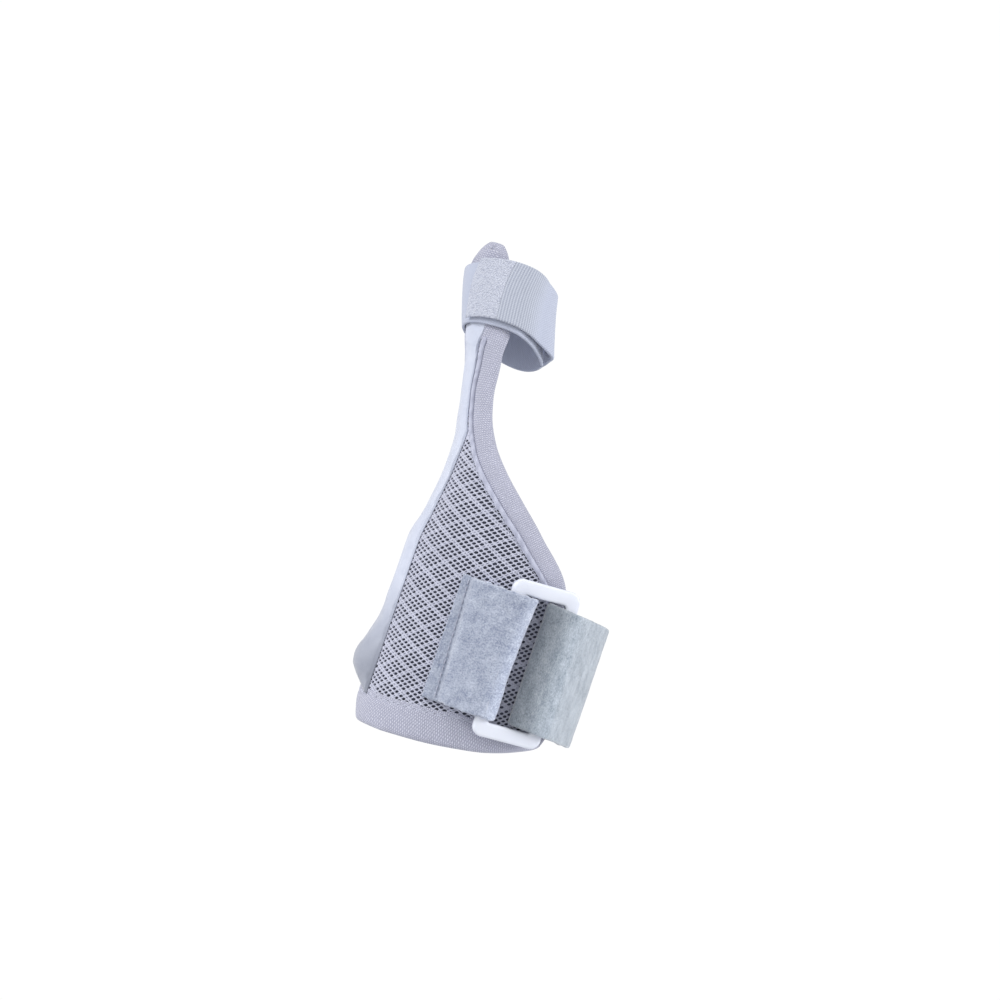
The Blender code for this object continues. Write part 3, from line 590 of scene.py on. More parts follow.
# The same tape faces the end of the tongue, from under the thumb strap to the tip
FACING_FOOT = 111 * MM
facing_heights = np.linspace(FACING_FOOT, TIP_HEIGHT - 2.2 * MM, 60)
facing_taper = 1.4 * MM * ramp(facing_heights, 120 * MM, FACING_FOOT)
facing_half = panel_half_width(facing_heights) - 1.6 * MM - facing_taper
facing_across = close_at_edges(25)
facing_reach = facing_half[:, None] * facing_across[None]
facing_swell = (0.02 + 0.55 * ramp(facing_heights, 138 * MM, 144 * MM))[:, None] * MM
facing_lift = PANEL_THICKNESS + facing_swell * (1 - facing_across[None] ** 4)
facing_rows = facing_heights[:, None] + 0 * facing_reach
facing = place(facing_rows, facing_reach, facing_lift)
facing_half_thickness = np.full((1, 25), 0.2 * MM)
more_rings, more_faces, more_uv = strip_parts(facing, facing_half_thickness, facing_rows, facing_reach)
faces += [tuple(i + len(rings) for i in face) for face in more_faces]
tape = add_mesh("edge_tape", np.concatenate([rings, more_rings]), faces, list(uv) + list(more_uv))
tape.data.materials.append(twill)
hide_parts("edge_binding")

# Bonded polyester thread: slightly glossy, a shade darker where it sinks in
thread, tree, shader, where = new_material("bonded_polyester_thread")
set_cloth(shader, sheen=0.2, roughness=0.55)
twist = add_node(tree, "TexNoise", Vector=where, Scale=2500.0, Detail=1.0)
blend = add_node(
    tree, "Mix", {"data_type": "RGBA"}, Factor=twist.outputs["Fac"], i6="#8F93A6", i7="#C9CCDA",
)
add_node(tree, shader, Base_Color=blend.outputs[2])


def add_stitches(name, path, lift, pitch, radius=0.2 * MM, sink=0.18 * MM, share=0.8):
    """Lockstitch along a path of (reach, height): short thread tubes that dive in at both ends."""
    run = run_along(path)
    number = int(run[-1] / pitch)
    points, faces = [], []
    sides = 6
    for k in range(number):
        ends = run[-1] * (k + np.linspace(0.5 - share / 2, 0.5 + share / 2, 6)) / number
        r, h = np.interp(ends, run, path[:, 0]), np.interp(ends, run, path[:, 1])
        lifts = np.interp(ends, run, lift) + sink * (np.sin(np.linspace(0, math.pi, 6)) - 1)
        line = place(h, r, lifts)
        up = unit(place(h, r, lifts + MM) - line)
        side = np.cross(unit(np.gradient(line, axis=0)), up)
        thick = radius * np.array([0.45, 0.95, 1, 1, 0.95, 0.45])
        base = len(points)
        for p, s, u, t in zip(line, side, up, thick):
            for q in range(sides):
                angle = 2 * math.pi * q / sides
                points.append(p + (s * math.cos(angle) + u * math.sin(angle)) * t)
        faces += [tuple(f + base) for f in ring_faces(6, sides)]
        faces.append(tuple(base + q for q in range(sides)))
        faces.append(tuple(base + 5 * sides + q for q in range(sides)))
    piece = add_mesh(name, points, faces)
    piece.data.materials.append(thread)
    return piece


beside_cord = widths + (GAP + TAPE_STEP) + GROOVE_WIDTH + CORD_ALLOWANCE
stitch_inset = ((face_widths - seam_back) * (1 - cord_zone) + beside_cord * cord_zone)[:, 0]
stitch_line = whole_edge + whole_inward * stitch_inset[:, None]
stitch_lift = np.full(len(stitch_line), middle_lift + FOLD_RADIUS + TAPE_THICKNESS / 2 - 0.12 * MM)
closed_line = np.concatenate([stitch_line, stitch_line[:1]])
add_stitches("edge_stitches", closed_line, np.append(stitch_lift, stitch_lift[0]), STITCH_PITCH)
inner_lift = np.full(len(closed_line), middle_lift - FOLD_RADIUS - TAPE_THICKNESS / 2 + 0.12 * MM)
add_stitches("lining_stitches", closed_line, inner_lift, STITCH_PITCH, sink=-0.12 * MM)

# Piping
# A cotton cord in a bias-cut cover of the same tape, sewn beside the edge tape from the ring
# up to the thumb strap. It hides the row where net and tape meet.

PIPING_DIAMETER = 2.0 * MM
PIPING_FOOT, PIPING_HEAD = 22 * MM, 113 * MM

# Bias-cut tape pulled tight over cord: smooth, paler than the flat tape, faint slanting pulls
cover, tree, shader, where = new_material("bias_tape_cover", uv=True)
set_cloth(shader, sheen=0.35, roughness=0.8)
pulls = add_node(
    tree, "TexWave", {"bands_direction": "DIAGONAL"}, Vector=where, Scale=0.11, Distortion=6.0,
    Detail=3.0,
)
blend = add_node(
    tree, "Mix", {"data_type": "RGBA"}, Factor=pulls.outputs["Fac"], i6="#A3A6B9", i7="#B4B7C9",
)
relief = add_node(tree, "Bump", Height=pulls.outputs["Fac"], Strength=0.12, Distance=0.0002)
add_node(tree, shader, Base_Color=blend.outputs[2], Normal=relief.outputs["Normal"])


def add_tube(name, line, radius, sides=12):
    """A round tube along world points, with rounded ends."""
    ahead = unit(np.gradient(line, axis=0))
    side = unit(np.cross(ahead, (0, 0, 1.0)))
    up = np.cross(side, ahead)
    angles = 2 * math.pi * np.arange(sides) / sides
    ends = np.minimum(np.arange(len(line)), np.arange(len(line))[::-1])
    thick = radius * np.sqrt(1 - (1 - np.clip((ends + 0.4) / 3, 0, 1)) ** 2)
    rings = line[:, None] + (
        side[:, None] * np.cos(angles)[None, :, None] + up[:, None] * np.sin(angles)[None, :, None]
    ) * thick[:, None, None]
    faces = [tuple(f) for f in ring_faces(len(line), sides)]
    run = run_along(line)
    u = np.broadcast_to(run[:, None], rings.shape[:2])
    v = np.broadcast_to(angles * radius, rings.shape[:2])
    uv = corner_uv(u, v)
    for row in (0, len(line) - 1):
        faces.append(tuple(row * sides + k for k in range(sides)))
        uv += [(u[row, k], v[row, k]) for k in range(sides)]
    return add_mesh(name, rings, faces, uv)


for name, side, node in (("palm_cord", 1, "palm_piping"), ("back_cord", -1, "back_piping")):
    inset = tape_width(palm_edge[:, 1]) + GAP + TAPE_STEP + GROOVE_WIDTH + PIPING_DIAMETER * 0.25
    spots = palm_edge + palm_inward * inset[:, None]
    kept = (spots[:, 1] >= PIPING_FOOT) & (spots[:, 1] <= PIPING_HEAD)
    spots = resample(spots[kept], 190)
    waver = 0.03 * MM * np.sin(np.arange(len(spots)) * 0.7)
    line = place(spots[:, 1], side * spots[:, 0], PANEL_THICKNESS + 0.1 * MM + waver)
    cord = add_tube(name, line, PIPING_DIAMETER / 2)
    cord.data.materials.append(cover)
    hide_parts(node)

# Stay sleeve
# A brushed knit sleeve sewn down both sides over the bent metal stay, from the cuff tape to the
# thumb strap. Foam fills it out at the wrist bone, and its front edge is turned under as a hem.

SLEEVE_HEM, SLEEVE_CROWN, SLEEVE_BULGE = 0.55 * MM, 0.4 * MM, 5.0 * MM
SLEEVE_FOOT, SEAM_SLANT = -29.2 * MM, 4.2 * MM
SLEEVE_ROWS = [
    (-0.72, 0.20), (-0.62, 0.70), (-0.45, 1.0), (-0.25, 0.6), (-0.05, 0.2), (0.1, 0.0), (0.75, 0.0),
]

# Brushed warp knit: close, smooth and softly satin, with barely visible wales along its length; painted
# shade darkens it towards the sleeve's puffy foot
jersey, tree, shader, where = new_material("brushed_warp_knit", uv=True)
set_cloth(shader, sheen=0.45, roughness=0.75)
WALE = 0.6  # mm between wales
wales = add_node(
    tree, "TexWave", {"bands_direction": "Y"}, Vector=where, Scale=0.314 / WALE, Distortion=1.2,
    Detail=2.0,
)
cloudy = add_node(tree, "TexNoise", Vector=where, Scale=0.18, Detail=3.0)
blend = add_node(
    tree, "Mix", {"data_type": "RGBA"}, Factor=cloudy.outputs["Fac"], i6="#B3B9CB", i7="#C9CEDD",
)
place_on = add_node(tree, "SeparateXYZ", Vector=where)
# painted shade: the tone falls towards the foot of the sleeve, where the puffed cloth faces down, away from
# the lights
nap_and_painted_shade = add_node(tree, "MapRange", Value=place_on.outputs["X"], From_Min=-24.0, From_Max=14.0, To_Min=0.55)
tone = add_node(tree, "HueSaturation", Color=blend.outputs[2], Value=nap_and_painted_shade.outputs["Result"])
fuzz = add_node(tree, "TexNoise", Vector=where, Scale=2.4, Detail=3.0)
height = add_node(
    tree, "Math", {"operation": "MULTIPLY_ADD"}, i0=wales.outputs["Fac"], i2=fuzz.outputs["Fac"], i1=0.6,
)
relief = add_node(tree, "Bump", Height=height.outputs[0], Strength=0.22, Distance=0.0002)
add_node(tree, shader, Base_Color=tone.outputs["Color"], Normal=relief.outputs["Normal"])

sleeve_rows, sleeve_columns = 170, 29
heights = np.linspace(SLEEVE_FOOT, SLEEVE_HEAD, sleeve_rows)
tilt_step = 0.5 * MM
rise = (panel_half_width(heights + tilt_step) - panel_half_width(heights - tilt_step)) / (2 * tilt_step)
beside = tape_width(heights) + GAP + TAPE_STEP + GROOVE_WIDTH + 0.75 * PIPING_DIAMETER + 0.25 * MM
half_widths = np.minimum(SLEEVE_WIDTH / 2, panel_half_width(heights) - beside * np.hypot(1, rise) - GAP)
x = close_at_edges(sleeve_columns)
bulge = SLEEVE_BULGE * read_table(SLEEVE_ROWS, 1, heights)
crown = SLEEVE_CROWN * half_widths / (SLEEVE_WIDTH / 2) + bulge
close_off = np.sqrt(ramp(heights, SLEEVE_FOOT - 0.4 * MM, SLEEVE_FOOT + 5 * MM))[:, None]
dome = (1 - np.abs(x) ** 2.6)[None] * crown[:, None] * close_off
bead = 0.3 * MM * np.exp(-(((np.abs(x) - 0.94) / 0.04) ** 2))[None]
thinned_head = 0.3 + 0.7 * ramp(heights, 116 * MM, 109 * MM)[:, None]
hem = SLEEVE_HEM * np.clip((1 - np.abs(x)) / 0.02, 0.25, 1)[None]
slanted = heights[:, None] - SEAM_SLANT * x**2 * ramp(heights, 0, SLEEVE_FOOT)[:, None] ** 2
top_lift = PANEL_THICKNESS + 0.15 * MM + (hem + dome + bead) * thinned_head
top = place(slanted, half_widths[:, None] * x, top_lift)
low = place(slanted, half_widths[:, None] * x, np.full((sleeve_rows, 1), PANEL_THICKNESS + 0.05 * MM))
around = np.concatenate([top, low[:, ::-1]], 1)
n_around = around.shape[1]
faces = [tuple(f) for f in ring_faces(sleeve_rows, n_around)]
u = np.broadcast_to(heights[:, None], around.shape[:2])
v = np.concatenate([half_widths[:, None] * x, half_widths[:, None] * x[::-1]], 1)
uv = corner_uv(u, v)
close_ends(faces, uv, u, v)
sleeve = add_mesh("stay_pocket", around, faces, uv)
sleeve.data.materials.append(jersey)
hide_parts("stay_sleeve")


def puff(piece, free, pressure, cap, frames=18, shrink=-0.01):
    """Lets the free points swell as cloth under air pressure, none further than the cap."""
    before = np.array([v.co for v in piece.data.vertices])
    pins = piece.vertex_groups.new(name="sewn")
    for index, loose in enumerate(free):
        if not loose:
            pins.add([index], 1.0, "REPLACE")
    cloth = piece.modifiers.new("Swell", "CLOTH")
    cloth.settings.vertex_group_mass = "sewn"
    cloth.settings.use_pressure = True
    cloth.settings.uniform_pressure_force = pressure
    cloth.settings.shrink_min = shrink
    cloth.settings.tension_stiffness = 12
    cloth.settings.bending_stiffness = 0.4
    cloth.settings.effector_weights.gravity = 0
    cloth.point_cache.frame_start, cloth.point_cache.frame_end = 1, frames
    for step in range(1, frames + 1):
        bpy.context.scene.frame_set(step)
    held = piece.evaluated_get(bpy.context.evaluated_depsgraph_get())
    after = np.array([v.co for v in held.data.vertices])
    piece.modifiers.clear()
    piece.vertex_groups.clear()
    move = after - before
    far = np.linalg.norm(move, axis=1)[:, None]
    move *= np.minimum(1, cap / np.maximum(far, 1e-9))
    piece.data.vertices.foreach_set("co", (before + move).ravel())
    piece.data.update()
    bpy.context.scene.frame_set(1)


column = np.tile(np.arange(n_around), sleeve_rows)
line = np.repeat(np.arange(sleeve_rows), n_around)
free = (column > 1) & (column < sleeve_columns - 2) & (line > 1) & (line < sleeve_rows - 2)
puff(sleeve, free, pressure=0.8, cap=0.3 * MM)

# Ring
# A flat rectangular strap ring, injection moulded in white polypropylene with rounded edges.
# It lies on the palm side of the wrist, held by the loop band, and the wrist strap turns round it.

LOOP_WIDTH, STRAP_WIDTH, STRAP_THICKNESS = 49.5 * MM, 48.9 * MM, 2.2 * MM
RING_REACH, RING_HEIGHT, RING_SKEW = 64.5 * MM, -1.8 * MM, math.radians(3)
RING_BAR, RING_END_BAR, RING_SLOT = 5.2 * MM, 5.2 * MM, 17.5 * MM
RING_THICKNESS, RING_CORNER, RING_PLAY, RING_CLEARANCE = 3.0 * MM, 4.0 * MM, 1.3 * MM, 2.8 * MM

ring_lift = PANEL_THICKNESS + RING_CLEARANCE + RING_THICKNESS / 2
ring_centre = arm_place(RING_HEIGHT, RING_REACH, ring_lift)
ring_out = arm_place(RING_HEIGHT, RING_REACH, MM) - arm_place(RING_HEIGHT, RING_REACH, 0)
ring_out /= np.linalg.norm(ring_out)
ring_ahead = arm_place(RING_HEIGHT, RING_REACH + MM, ring_lift) - ring_centre
ring_ahead /= np.linalg.norm(ring_ahead)
ring_up = np.cross(ring_out, ring_ahead)
ring_up *= np.sign(ring_up[2])
ring_up, ring_ahead = (
    ring_up * math.cos(RING_SKEW) - ring_ahead * math.sin(RING_SKEW),
    ring_ahead * math.cos(RING_SKEW) + ring_up * math.sin(RING_SKEW),
)


def bar_place(side, height, share=0.5):
    """The reach and lift on a long bar's outer face at a height, at a share of its width from the slot."""
    aside = ring_ahead * side * (RING_SLOT / 2 + RING_BAR * share)
    start = ring_centre + aside + ring_out * RING_THICKNESS / 2
    point = start + ring_up * (height - start[2]) / ring_up[2]
    reach = RING_REACH
    for _ in range(14):
        base = arm_place(point[2], reach, 0)
        out = (arm_place(point[2], reach, MM) - base) / MM
        along = (arm_place(point[2], reach + MM, 0) - base) / MM
        reach += (point - base) @ along * 0.9
    return reach, (point - base) @ out


# Moulded polypropylene: cool white, slightly translucent, satin with a soft moulding texture
plastic, tree, shader, where = new_material("moulded_white_polypropylene")
shader.inputs["IOR"].default_value = 1.49
shader.inputs["Subsurface Weight"].default_value = 0.12
shader.inputs["Subsurface Radius"].default_value = (0.002, 0.002, 0.0025)
shader.inputs["Subsurface Scale"].default_value = 1.0
skin = add_node(tree, "TexNoise", Vector=where, Scale=900.0, Detail=3.0)
flow = add_node(tree, "TexNoise", Vector=where, Scale=60.0, Detail=2.0)
blend = add_node(
    tree, "Mix", {"data_type": "RGBA"}, Factor=flow.outputs["Fac"], i6="#D3D7E3", i7="#DEE2EC",
)
gloss = add_node(tree, "MapRange", Value=skin.outputs["Fac"], To_Min=0.28, To_Max=0.42)
relief = add_node(tree, "Bump", Height=skin.outputs["Fac"], Strength=0.06, Distance=0.0002)
add_node(
    tree, shader, Base_Color=blend.outputs[2], Roughness=gloss.outputs["Result"],
    Normal=relief.outputs["Normal"],
)

slot_length = LOOP_WIDTH + 2 * RING_PLAY
RING_END_FILL = 1.4 * MM  # the moulding's rounding takes this from the slot's length
CORNER_STEPS = 10
SECTION_STEPS = 20


def corner_walk(width, length, corner):
    """Points round a rounded rectangle, the same number at every size."""
    spots = []
    for quarter, (sx, sy) in enumerate(((1, 1), (-1, 1), (-1, -1), (1, -1))):
        for step in range(CORNER_STEPS + 1):
            angle = math.pi / 2 * (quarter + step / CORNER_STEPS)
            x = sx * (width / 2 - corner) + corner * math.cos(angle)
            y = sy * (length / 2 - corner) + corner * math.sin(angle)
            spots.append((x, y))
    return np.array(spots)


rim_outer = corner_walk(RING_SLOT + 2 * RING_BAR, slot_length + 2 * RING_END_BAR, RING_CORNER)
rim_inner = corner_walk(RING_SLOT, slot_length - RING_END_FILL, RING_CORNER / 3)
section = []
for step in range(SECTION_STEPS):
    angle = 2 * math.pi * step / SECTION_STEPS
    c, s = math.cos(angle), math.sin(angle)
    section.append((math.copysign(abs(c) ** 0.42, c), math.copysign(abs(s) ** 0.5, s)))
section = np.array(section)
share = (section[:, 0] + 1) / 2
flat = rim_inner[:, None] * (1 - share)[None, :, None] + rim_outer[:, None] * share[None, :, None]
rings = (
    ring_centre
    + flat[..., :1] * ring_ahead
    + flat[..., 1:] * ring_up
    + (section[:, 1] * RING_THICKNESS / 2)[None, :, None] * ring_out
)
strap_ring = add_mesh("strap_ring", tilt(rings), ring_faces(len(rings), SECTION_STEPS, True))
strap_ring.data.materials.append(plastic)
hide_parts("ring")

# Loop band
# A band of brushed loop fabric: its tail is sewn to the net, it goes over the ring's near bar,
# through the slot and back under itself. It is smoother where it is bent, and its bend carries a painted
# highlight.


def plush_material(name, dark, light, nap_and_painted_shade, turn_start, turn_end, low_tone, high_tone):
    """Brushed nylon loop on a foam back: soft mottling from flattened and raised loops, and painted light
    near the turn.
    """
    material, tree, shader, where = new_material(name, uv=True)
    set_cloth(shader, sheen=0.7, roughness=1.0)
    stretch = add_node(tree, "Mapping", Vector=where, Scale=nap_and_painted_shade)
    clumps = add_node(
        tree, "TexNoise", Vector=stretch.outputs["Vector"], Scale=0.16, Detail=7.0, Roughness=0.8,
    )
    loops = add_node(
        tree, "TexNoise", Vector=stretch.outputs["Vector"], Scale=1.5, Detail=3.0, Roughness=0.8,
    )
    both = add_node(
        tree, "Math", {"operation": "MULTIPLY_ADD"}, i0=loops.outputs["Fac"], i2=clumps.outputs["Fac"],
        i1=1.0,
    )
    reach = add_node(tree, "MapRange", Value=both.outputs[0], From_Min=0.8, From_Max=1.2)
    blend = add_node(
        tree, "Mix", {"data_type": "RGBA"}, Factor=reach.outputs["Result"], i6=dark, i7=light,
    )
    place_on = add_node(tree, "SeparateXYZ", Vector=where)
    # painted light: the tone from low_tone to high_tone near the turn is painted shade and painted
    # highlight, not a change in the pile
    painted_turn_light = add_node(
        tree, "MapRange", {"interpolation_type": "SMOOTHSTEP"}, Value=place_on.outputs["X"],
        From_Min=turn_start, From_Max=turn_end, To_Min=low_tone, To_Max=high_tone,
    )
    tone = add_node(tree, "HueSaturation", Color=blend.outputs[2], Value=painted_turn_light.outputs["Result"])
    relief = add_node(tree, "Bump", Height=both.outputs[0], Strength=0.75, Distance=0.0005)
    add_node(tree, shader, Base_Color=tone.outputs["Color"], Normal=relief.outputs["Normal"])
    return material


# UV x is measured from each band's turn; over a few millimetres from it the tone is painted light: a painted
# highlight on the loop band's bend and painted shade on the wrist strap where it rolls into the slot
band_plush = plush_material(
    "brushed_loop_band", "#79829A", "#BAC1D0", (1.0, 1.0, 1.0), -10.0, -1.0, 1.0, 1.42
)
# painted shade: the wrist strap is darkened where it turns round the far bar into the slot
strap_plush = plush_material(
    "brushed_loop_strap", "#7F8B99", "#C3CCD7", (1.8, 0.7, 1.0), 3.0, 15.0, 0.5, 1.03
)


def soften(points, cuts=3):
    """Cuts the corners off a path a few times and keeps its ends."""
    points = np.asarray(points, float)
    for _ in range(cuts):
        near = points[:-1] * 0.75 + points[1:] * 0.25
        far = points[:-1] * 0.25 + points[1:] * 0.75
        points = np.concatenate([points[:1], np.stack([near, far], 1).reshape(-1, 2), points[-1:]])
    return points


def fold_round(reach, direction, low, high, length):
    """The half turn of a strap round a bar, drawn out to a length along the strap."""
    radius = (high - low) / 2
    return [
        (reach + direction * length * (math.sin(a) - 1), low + radius - radius * math.cos(a))
        for a in np.linspace(0, math.pi, 9)
    ]


def pile_noise(shape, width, seed):
    """Smooth random clumps over a grid, from -1 to 1."""
    field = np.random.default_rng(seed).normal(size=shape)
    reach = int(width * 3)
    kernel = np.exp(-((np.arange(-reach, reach + 1) / width) ** 2))
    for axis in (0, 1) if shape[1] > 2 else (0,):
        field = np.apply_along_axis(lambda line: np.convolve(line, kernel, "same"), axis, field)
    return field / np.abs(field).max()


def strap_surface(runs, parts, count, columns, height_of, ragged, turn_side):
    """The middle surface of a strap from its runs of (reach, lift) at a few parts of its width."""
    runs = np.array([resample(soften(run), count) for run in runs])
    turn_row = int((runs[0, :, 0] * turn_side).argmax())
    wide = close_at_edges(columns) / 2 + 0.5
    reach = np.array([np.interp(wide, parts, runs[:, k, 0]) for k in range(count)])
    lift = np.array([np.interp(wide, parts, runs[:, k, 1]) for k in range(count)])
    wander = pile_noise((count, 2), 2.5, 8).repeat([1, 1], 1) * ragged
    frayed = wander[:, :1] * (1 - wide[None]) ** 6
    height = height_of(reach, wide[None]) + frayed + wander[:, 1:] * wide[None] ** 6
    middle = place(height, reach, lift)
    along = run_along(middle)
    return middle, along - along[turn_row], wide


def round_edges(count, wide, thickness, width, edge=1.0 * MM, first=0.0, last=0.0):
    """Half the thickness over a strap, rounded at its sides and ends."""
    side = np.clip(np.minimum(wide, 1 - wide) * width / edge, 0, 1)
    ends = np.clip(np.minimum(np.arange(count) / 2.0 + first, np.arange(count)[::-1] / 2.0 + last), 0, 1)
    sides = 0.25 + 0.75 * np.sqrt(1 - (1 - side) ** 2)
    tips = 0.45 + 0.55 * np.sqrt(1 - (1 - ends) ** 2)
    return thickness / 2 * sides[None] * tips[:, None]


BEND_SPACING, LOOP_LENGTH, LOOP_TAIL = 4.4 * MM, 26.1 * MM, 5.0 * MM
LOOP_FOLD = 4.2 * MM
LOOP_ROWS, LOOP_COLUMNS = 200, 81
flat_on = PANEL_THICKNESS + GAP + STRAP_THICKNESS / 2
doubled = flat_on + STRAP_THICKNESS + GAP
parts = (0, 1 / 3, 2 / 3, 1)
runs = []
for part in parts:
    height = RING_HEIGHT + (part - 0.5) * LOOP_WIDTH
    near_reach, bar_top = bar_place(-1, height)
    over = bar_top + GAP + STRAP_THICKNESS / 2
    bend = RING_REACH - BEND_SPACING + 1.0 * MM * (part - 0.5) - 0.8 * MM * math.sin(math.pi * part)
    start = RING_REACH - BEND_SPACING - LOOP_LENGTH
    step = start + LOOP_TAIL - 2.5 * MM * (part - 0.5)
    between = (step + near_reach) / 2
    runs.append([
        (start, flat_on),
        (start + LOOP_TAIL / 2, flat_on),
        (step - 0.6 * MM, flat_on - 0.35 * MM),
        (step + 0.4 * MM, flat_on + 0.3 * MM),
        (step + 0.9 * STRAP_THICKNESS, doubled + 2.2 * GAP),
        (between, (doubled + over) / 2 + GAP),
        (near_reach - RING_BAR, over),
        (near_reach, over + GAP),
        *fold_round(bend, 1, flat_on, over, LOOP_FOLD)[::-1],
        (near_reach, flat_on),
        (between, flat_on),
        (step + 1.6 * STRAP_THICKNESS, flat_on),
    ])


def loop_height(reach, part):
    return RING_HEIGHT + (part - 0.5) * LOOP_WIDTH + 0 * reach


middle, along, wide = strap_surface(runs, parts, LOOP_ROWS, LOOP_COLUMNS, loop_height, 0.45 * MM, 1)
half = round_edges(LOOP_ROWS, wide, STRAP_THICKNESS, LOOP_WIDTH)
lumps = pile_noise(half.shape, 1.6, 3) * 0.2 * MM + pile_noise(half.shape, 5, 4) * 0.22 * MM
half += lumps * (half > 0.9 * MM)
band = add_strip("loop_band", middle, half, along, np.broadcast_to(wide * LOOP_WIDTH, along.shape))
band.data.materials.append(band_plush)
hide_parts("ring_loop")

TAIL_POINTS = 60
tail_stitch = np.stack([
    RING_REACH - BEND_SPACING - LOOP_LENGTH + 3.6 * MM - 2.0 * MM * np.linspace(-0.5, 0.5, TAIL_POINTS),
    RING_HEIGHT + np.linspace(-0.48, 0.48, TAIL_POINTS) * LOOP_WIDTH,
], -1)
tail_lift = np.full(TAIL_POINTS, flat_on + STRAP_THICKNESS / 2 + 0.1 * MM)
add_stitches("loop_tail_stitches", tail_stitch, tail_lift, 2.6 * MM)

# Wrist strap
# The long strap of the same loop fabric on foam. It is sewn to the back wing, passes round the
# little-finger side, turns round the ring's far bar and is pressed down on itself by a hook patch.

STRAP_DROP, STRAP_STAND_OFF, STRAP_RISE = 3.2 * MM, 2.4 * MM, 0.7 * MM
STRAP_FOLD = 7.0 * MM
STRAP_ROWS, STRAP_COLUMNS = 340, 71
STRAP_OVERLAP, STRAP_SEAM = 70 * MM, 30 * MM
HOOK_TAB_LENGTH, HOOK_TAB_THICKNESS = 28 * MM, 1.0 * MM
wrist_half = float(half_girth(0.0))
wing = max(value for _, value in EDGE_ROWS) * wrist_half


def strap_height(reach, part):
    drop = STRAP_DROP * ramp(reach, RING_REACH, wrist_half)
    return RING_HEIGHT + STRAP_RISE + (part - 0.5) * STRAP_WIDTH - drop


def strap_lift(reach):
    """The first layer's lift: flat on the wings, nearer the hollow between them."""
    on_wing = PANEL_THICKNESS + GAP + STRAP_THICKNESS / 2
    off_wing = ramp(wrist_half - wing - 1.8 * MM - np.abs(reach - wrist_half), 0, wrist_half - wing)
    return on_wing + (STRAP_STAND_OFF - on_wing) * off_wing


def second_lift(reach):
    raised = (HOOK_TAB_THICKNESS + GAP) * ramp(reach, wrist_half - 4 * MM, wrist_half + 4 * MM)
    return strap_lift(reach) + STRAP_THICKNESS + GAP + raised


seam_reach = 2 * wrist_half - wing + STRAP_SEAM
strap_bend = RING_REACH + 1.1 * MM
strap_end = strap_bend + STRAP_OVERLAP
parts = (0, 0.5, 1)
runs = []
for part in parts:
    far_reach, bar_top = bar_place(1, float(strap_height(RING_REACH, part)))
    brink_reach, brink_top = bar_place(1, float(strap_height(RING_REACH, part)), 1)
    over = bar_top + GAP + STRAP_THICKNESS / 2
    over_brink = brink_top + 2 * GAP + STRAP_THICKNESS / 2
    run = [(reach, float(strap_lift(reach))) for reach in np.linspace(seam_reach, far_reach, 17)]
    run += fold_round(strap_bend, -1, float(strap_lift(RING_REACH)), over, STRAP_FOLD)
    run += [(far_reach, over + GAP), (brink_reach, over_brink), (brink_reach + GAP, over_brink)]
    way_back = np.linspace(brink_reach + 2 * RING_BAR, strap_end, 11)
    run += [(reach, float(second_lift(reach))) for reach in way_back]
    runs.append(run)
middle, along, wide = strap_surface(
    runs, parts, STRAP_ROWS, STRAP_COLUMNS, strap_height, 0.15 * MM, -1
)
half = round_edges(STRAP_ROWS, wide, STRAP_THICKNESS, STRAP_WIDTH)
lumps = pile_noise(half.shape, 1.6, 5) * 0.13 * MM + pile_noise(half.shape, 6, 6) * 0.15 * MM
half += lumps * (half > 0.9 * MM)
strap = add_strip("wrist_band", middle, half, along, np.broadcast_to(wide * STRAP_WIDTH, along.shape))
strap.data.materials.append(strap_plush)
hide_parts("wrist_strap")

# Woven nylon hook tape: stiff, with rows of tiny cut hooks that give it a dotted, gritty face
hook_tape, tree, shader, where = new_material("woven_nylon_hook_tape", uv=True)
set_cloth(shader, sheen=0.15, roughness=0.6)
HOOK_SPACING = 0.75  # mm between hooks, as on a common woven tape
dots = add_node(
    tree, "TexVoronoi", {"feature": "F1"}, Vector=where, Scale=1 / HOOK_SPACING * 1.3, Randomness=0.75,
)
blend = add_node(
    tree, "Mix", {"data_type": "RGBA"}, Factor=dots.outputs["Distance"], i6="#D3D7E3", i7="#9CA1B3",
)
relief = add_node(tree, "Bump", Height=dots.outputs["Distance"], Strength=0.9, Distance=0.0004)
relief.invert = True
add_node(tree, shader, Base_Color=blend.outputs[2], Normal=relief.outputs["Normal"])

patch_end = RING_REACH + STRAP_OVERLAP - MM
reach = np.linspace(patch_end - HOOK_TAB_LENGTH, patch_end, 40)[:, None]
wide = (close_at_edges(25) / 2 + 0.5)[None] * 0.92 + 0.04
lift = strap_lift(reach) + STRAP_THICKNESS / 2 + GAP + HOOK_TAB_THICKNESS / 2
middle = place(strap_height(reach, wide), reach + 0 * wide, lift + 0 * wide)
half = round_edges(40, np.linspace(0, 1, 25), HOOK_TAB_THICKNESS, STRAP_WIDTH, 0.6 * MM)
patch_tape = add_strip("wrist_hook_patch", middle, half, reach + 0 * wide, 0 * reach + wide * STRAP_WIDTH)
patch_tape.data.materials.append(hook_tape)
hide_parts("wrist_hook_tab")

# Thumb strap
# Woven elastic, nominally 25 mm wide, wound nearly one and a half times round the thumb and tongue.
# Rubber cores make fine ribs across it where it is stretched, and its free end carries hook tape.

THUMB_STRAP_WIDTH, THUMB_STRAP_THICKNESS = 24 * MM, 1.8 * MM
THUMB_STRAP_HEIGHT, THUMB_STRAP_ARCH, THUMB_STRAP_STEP = 0.836 * THUMB_REACH, 7.5 * MM, 2.5 * MM
BAND_THICKNESS = 1.3 * MM  # the elastic is pulled thin
THUMB_COLUMNS = 33

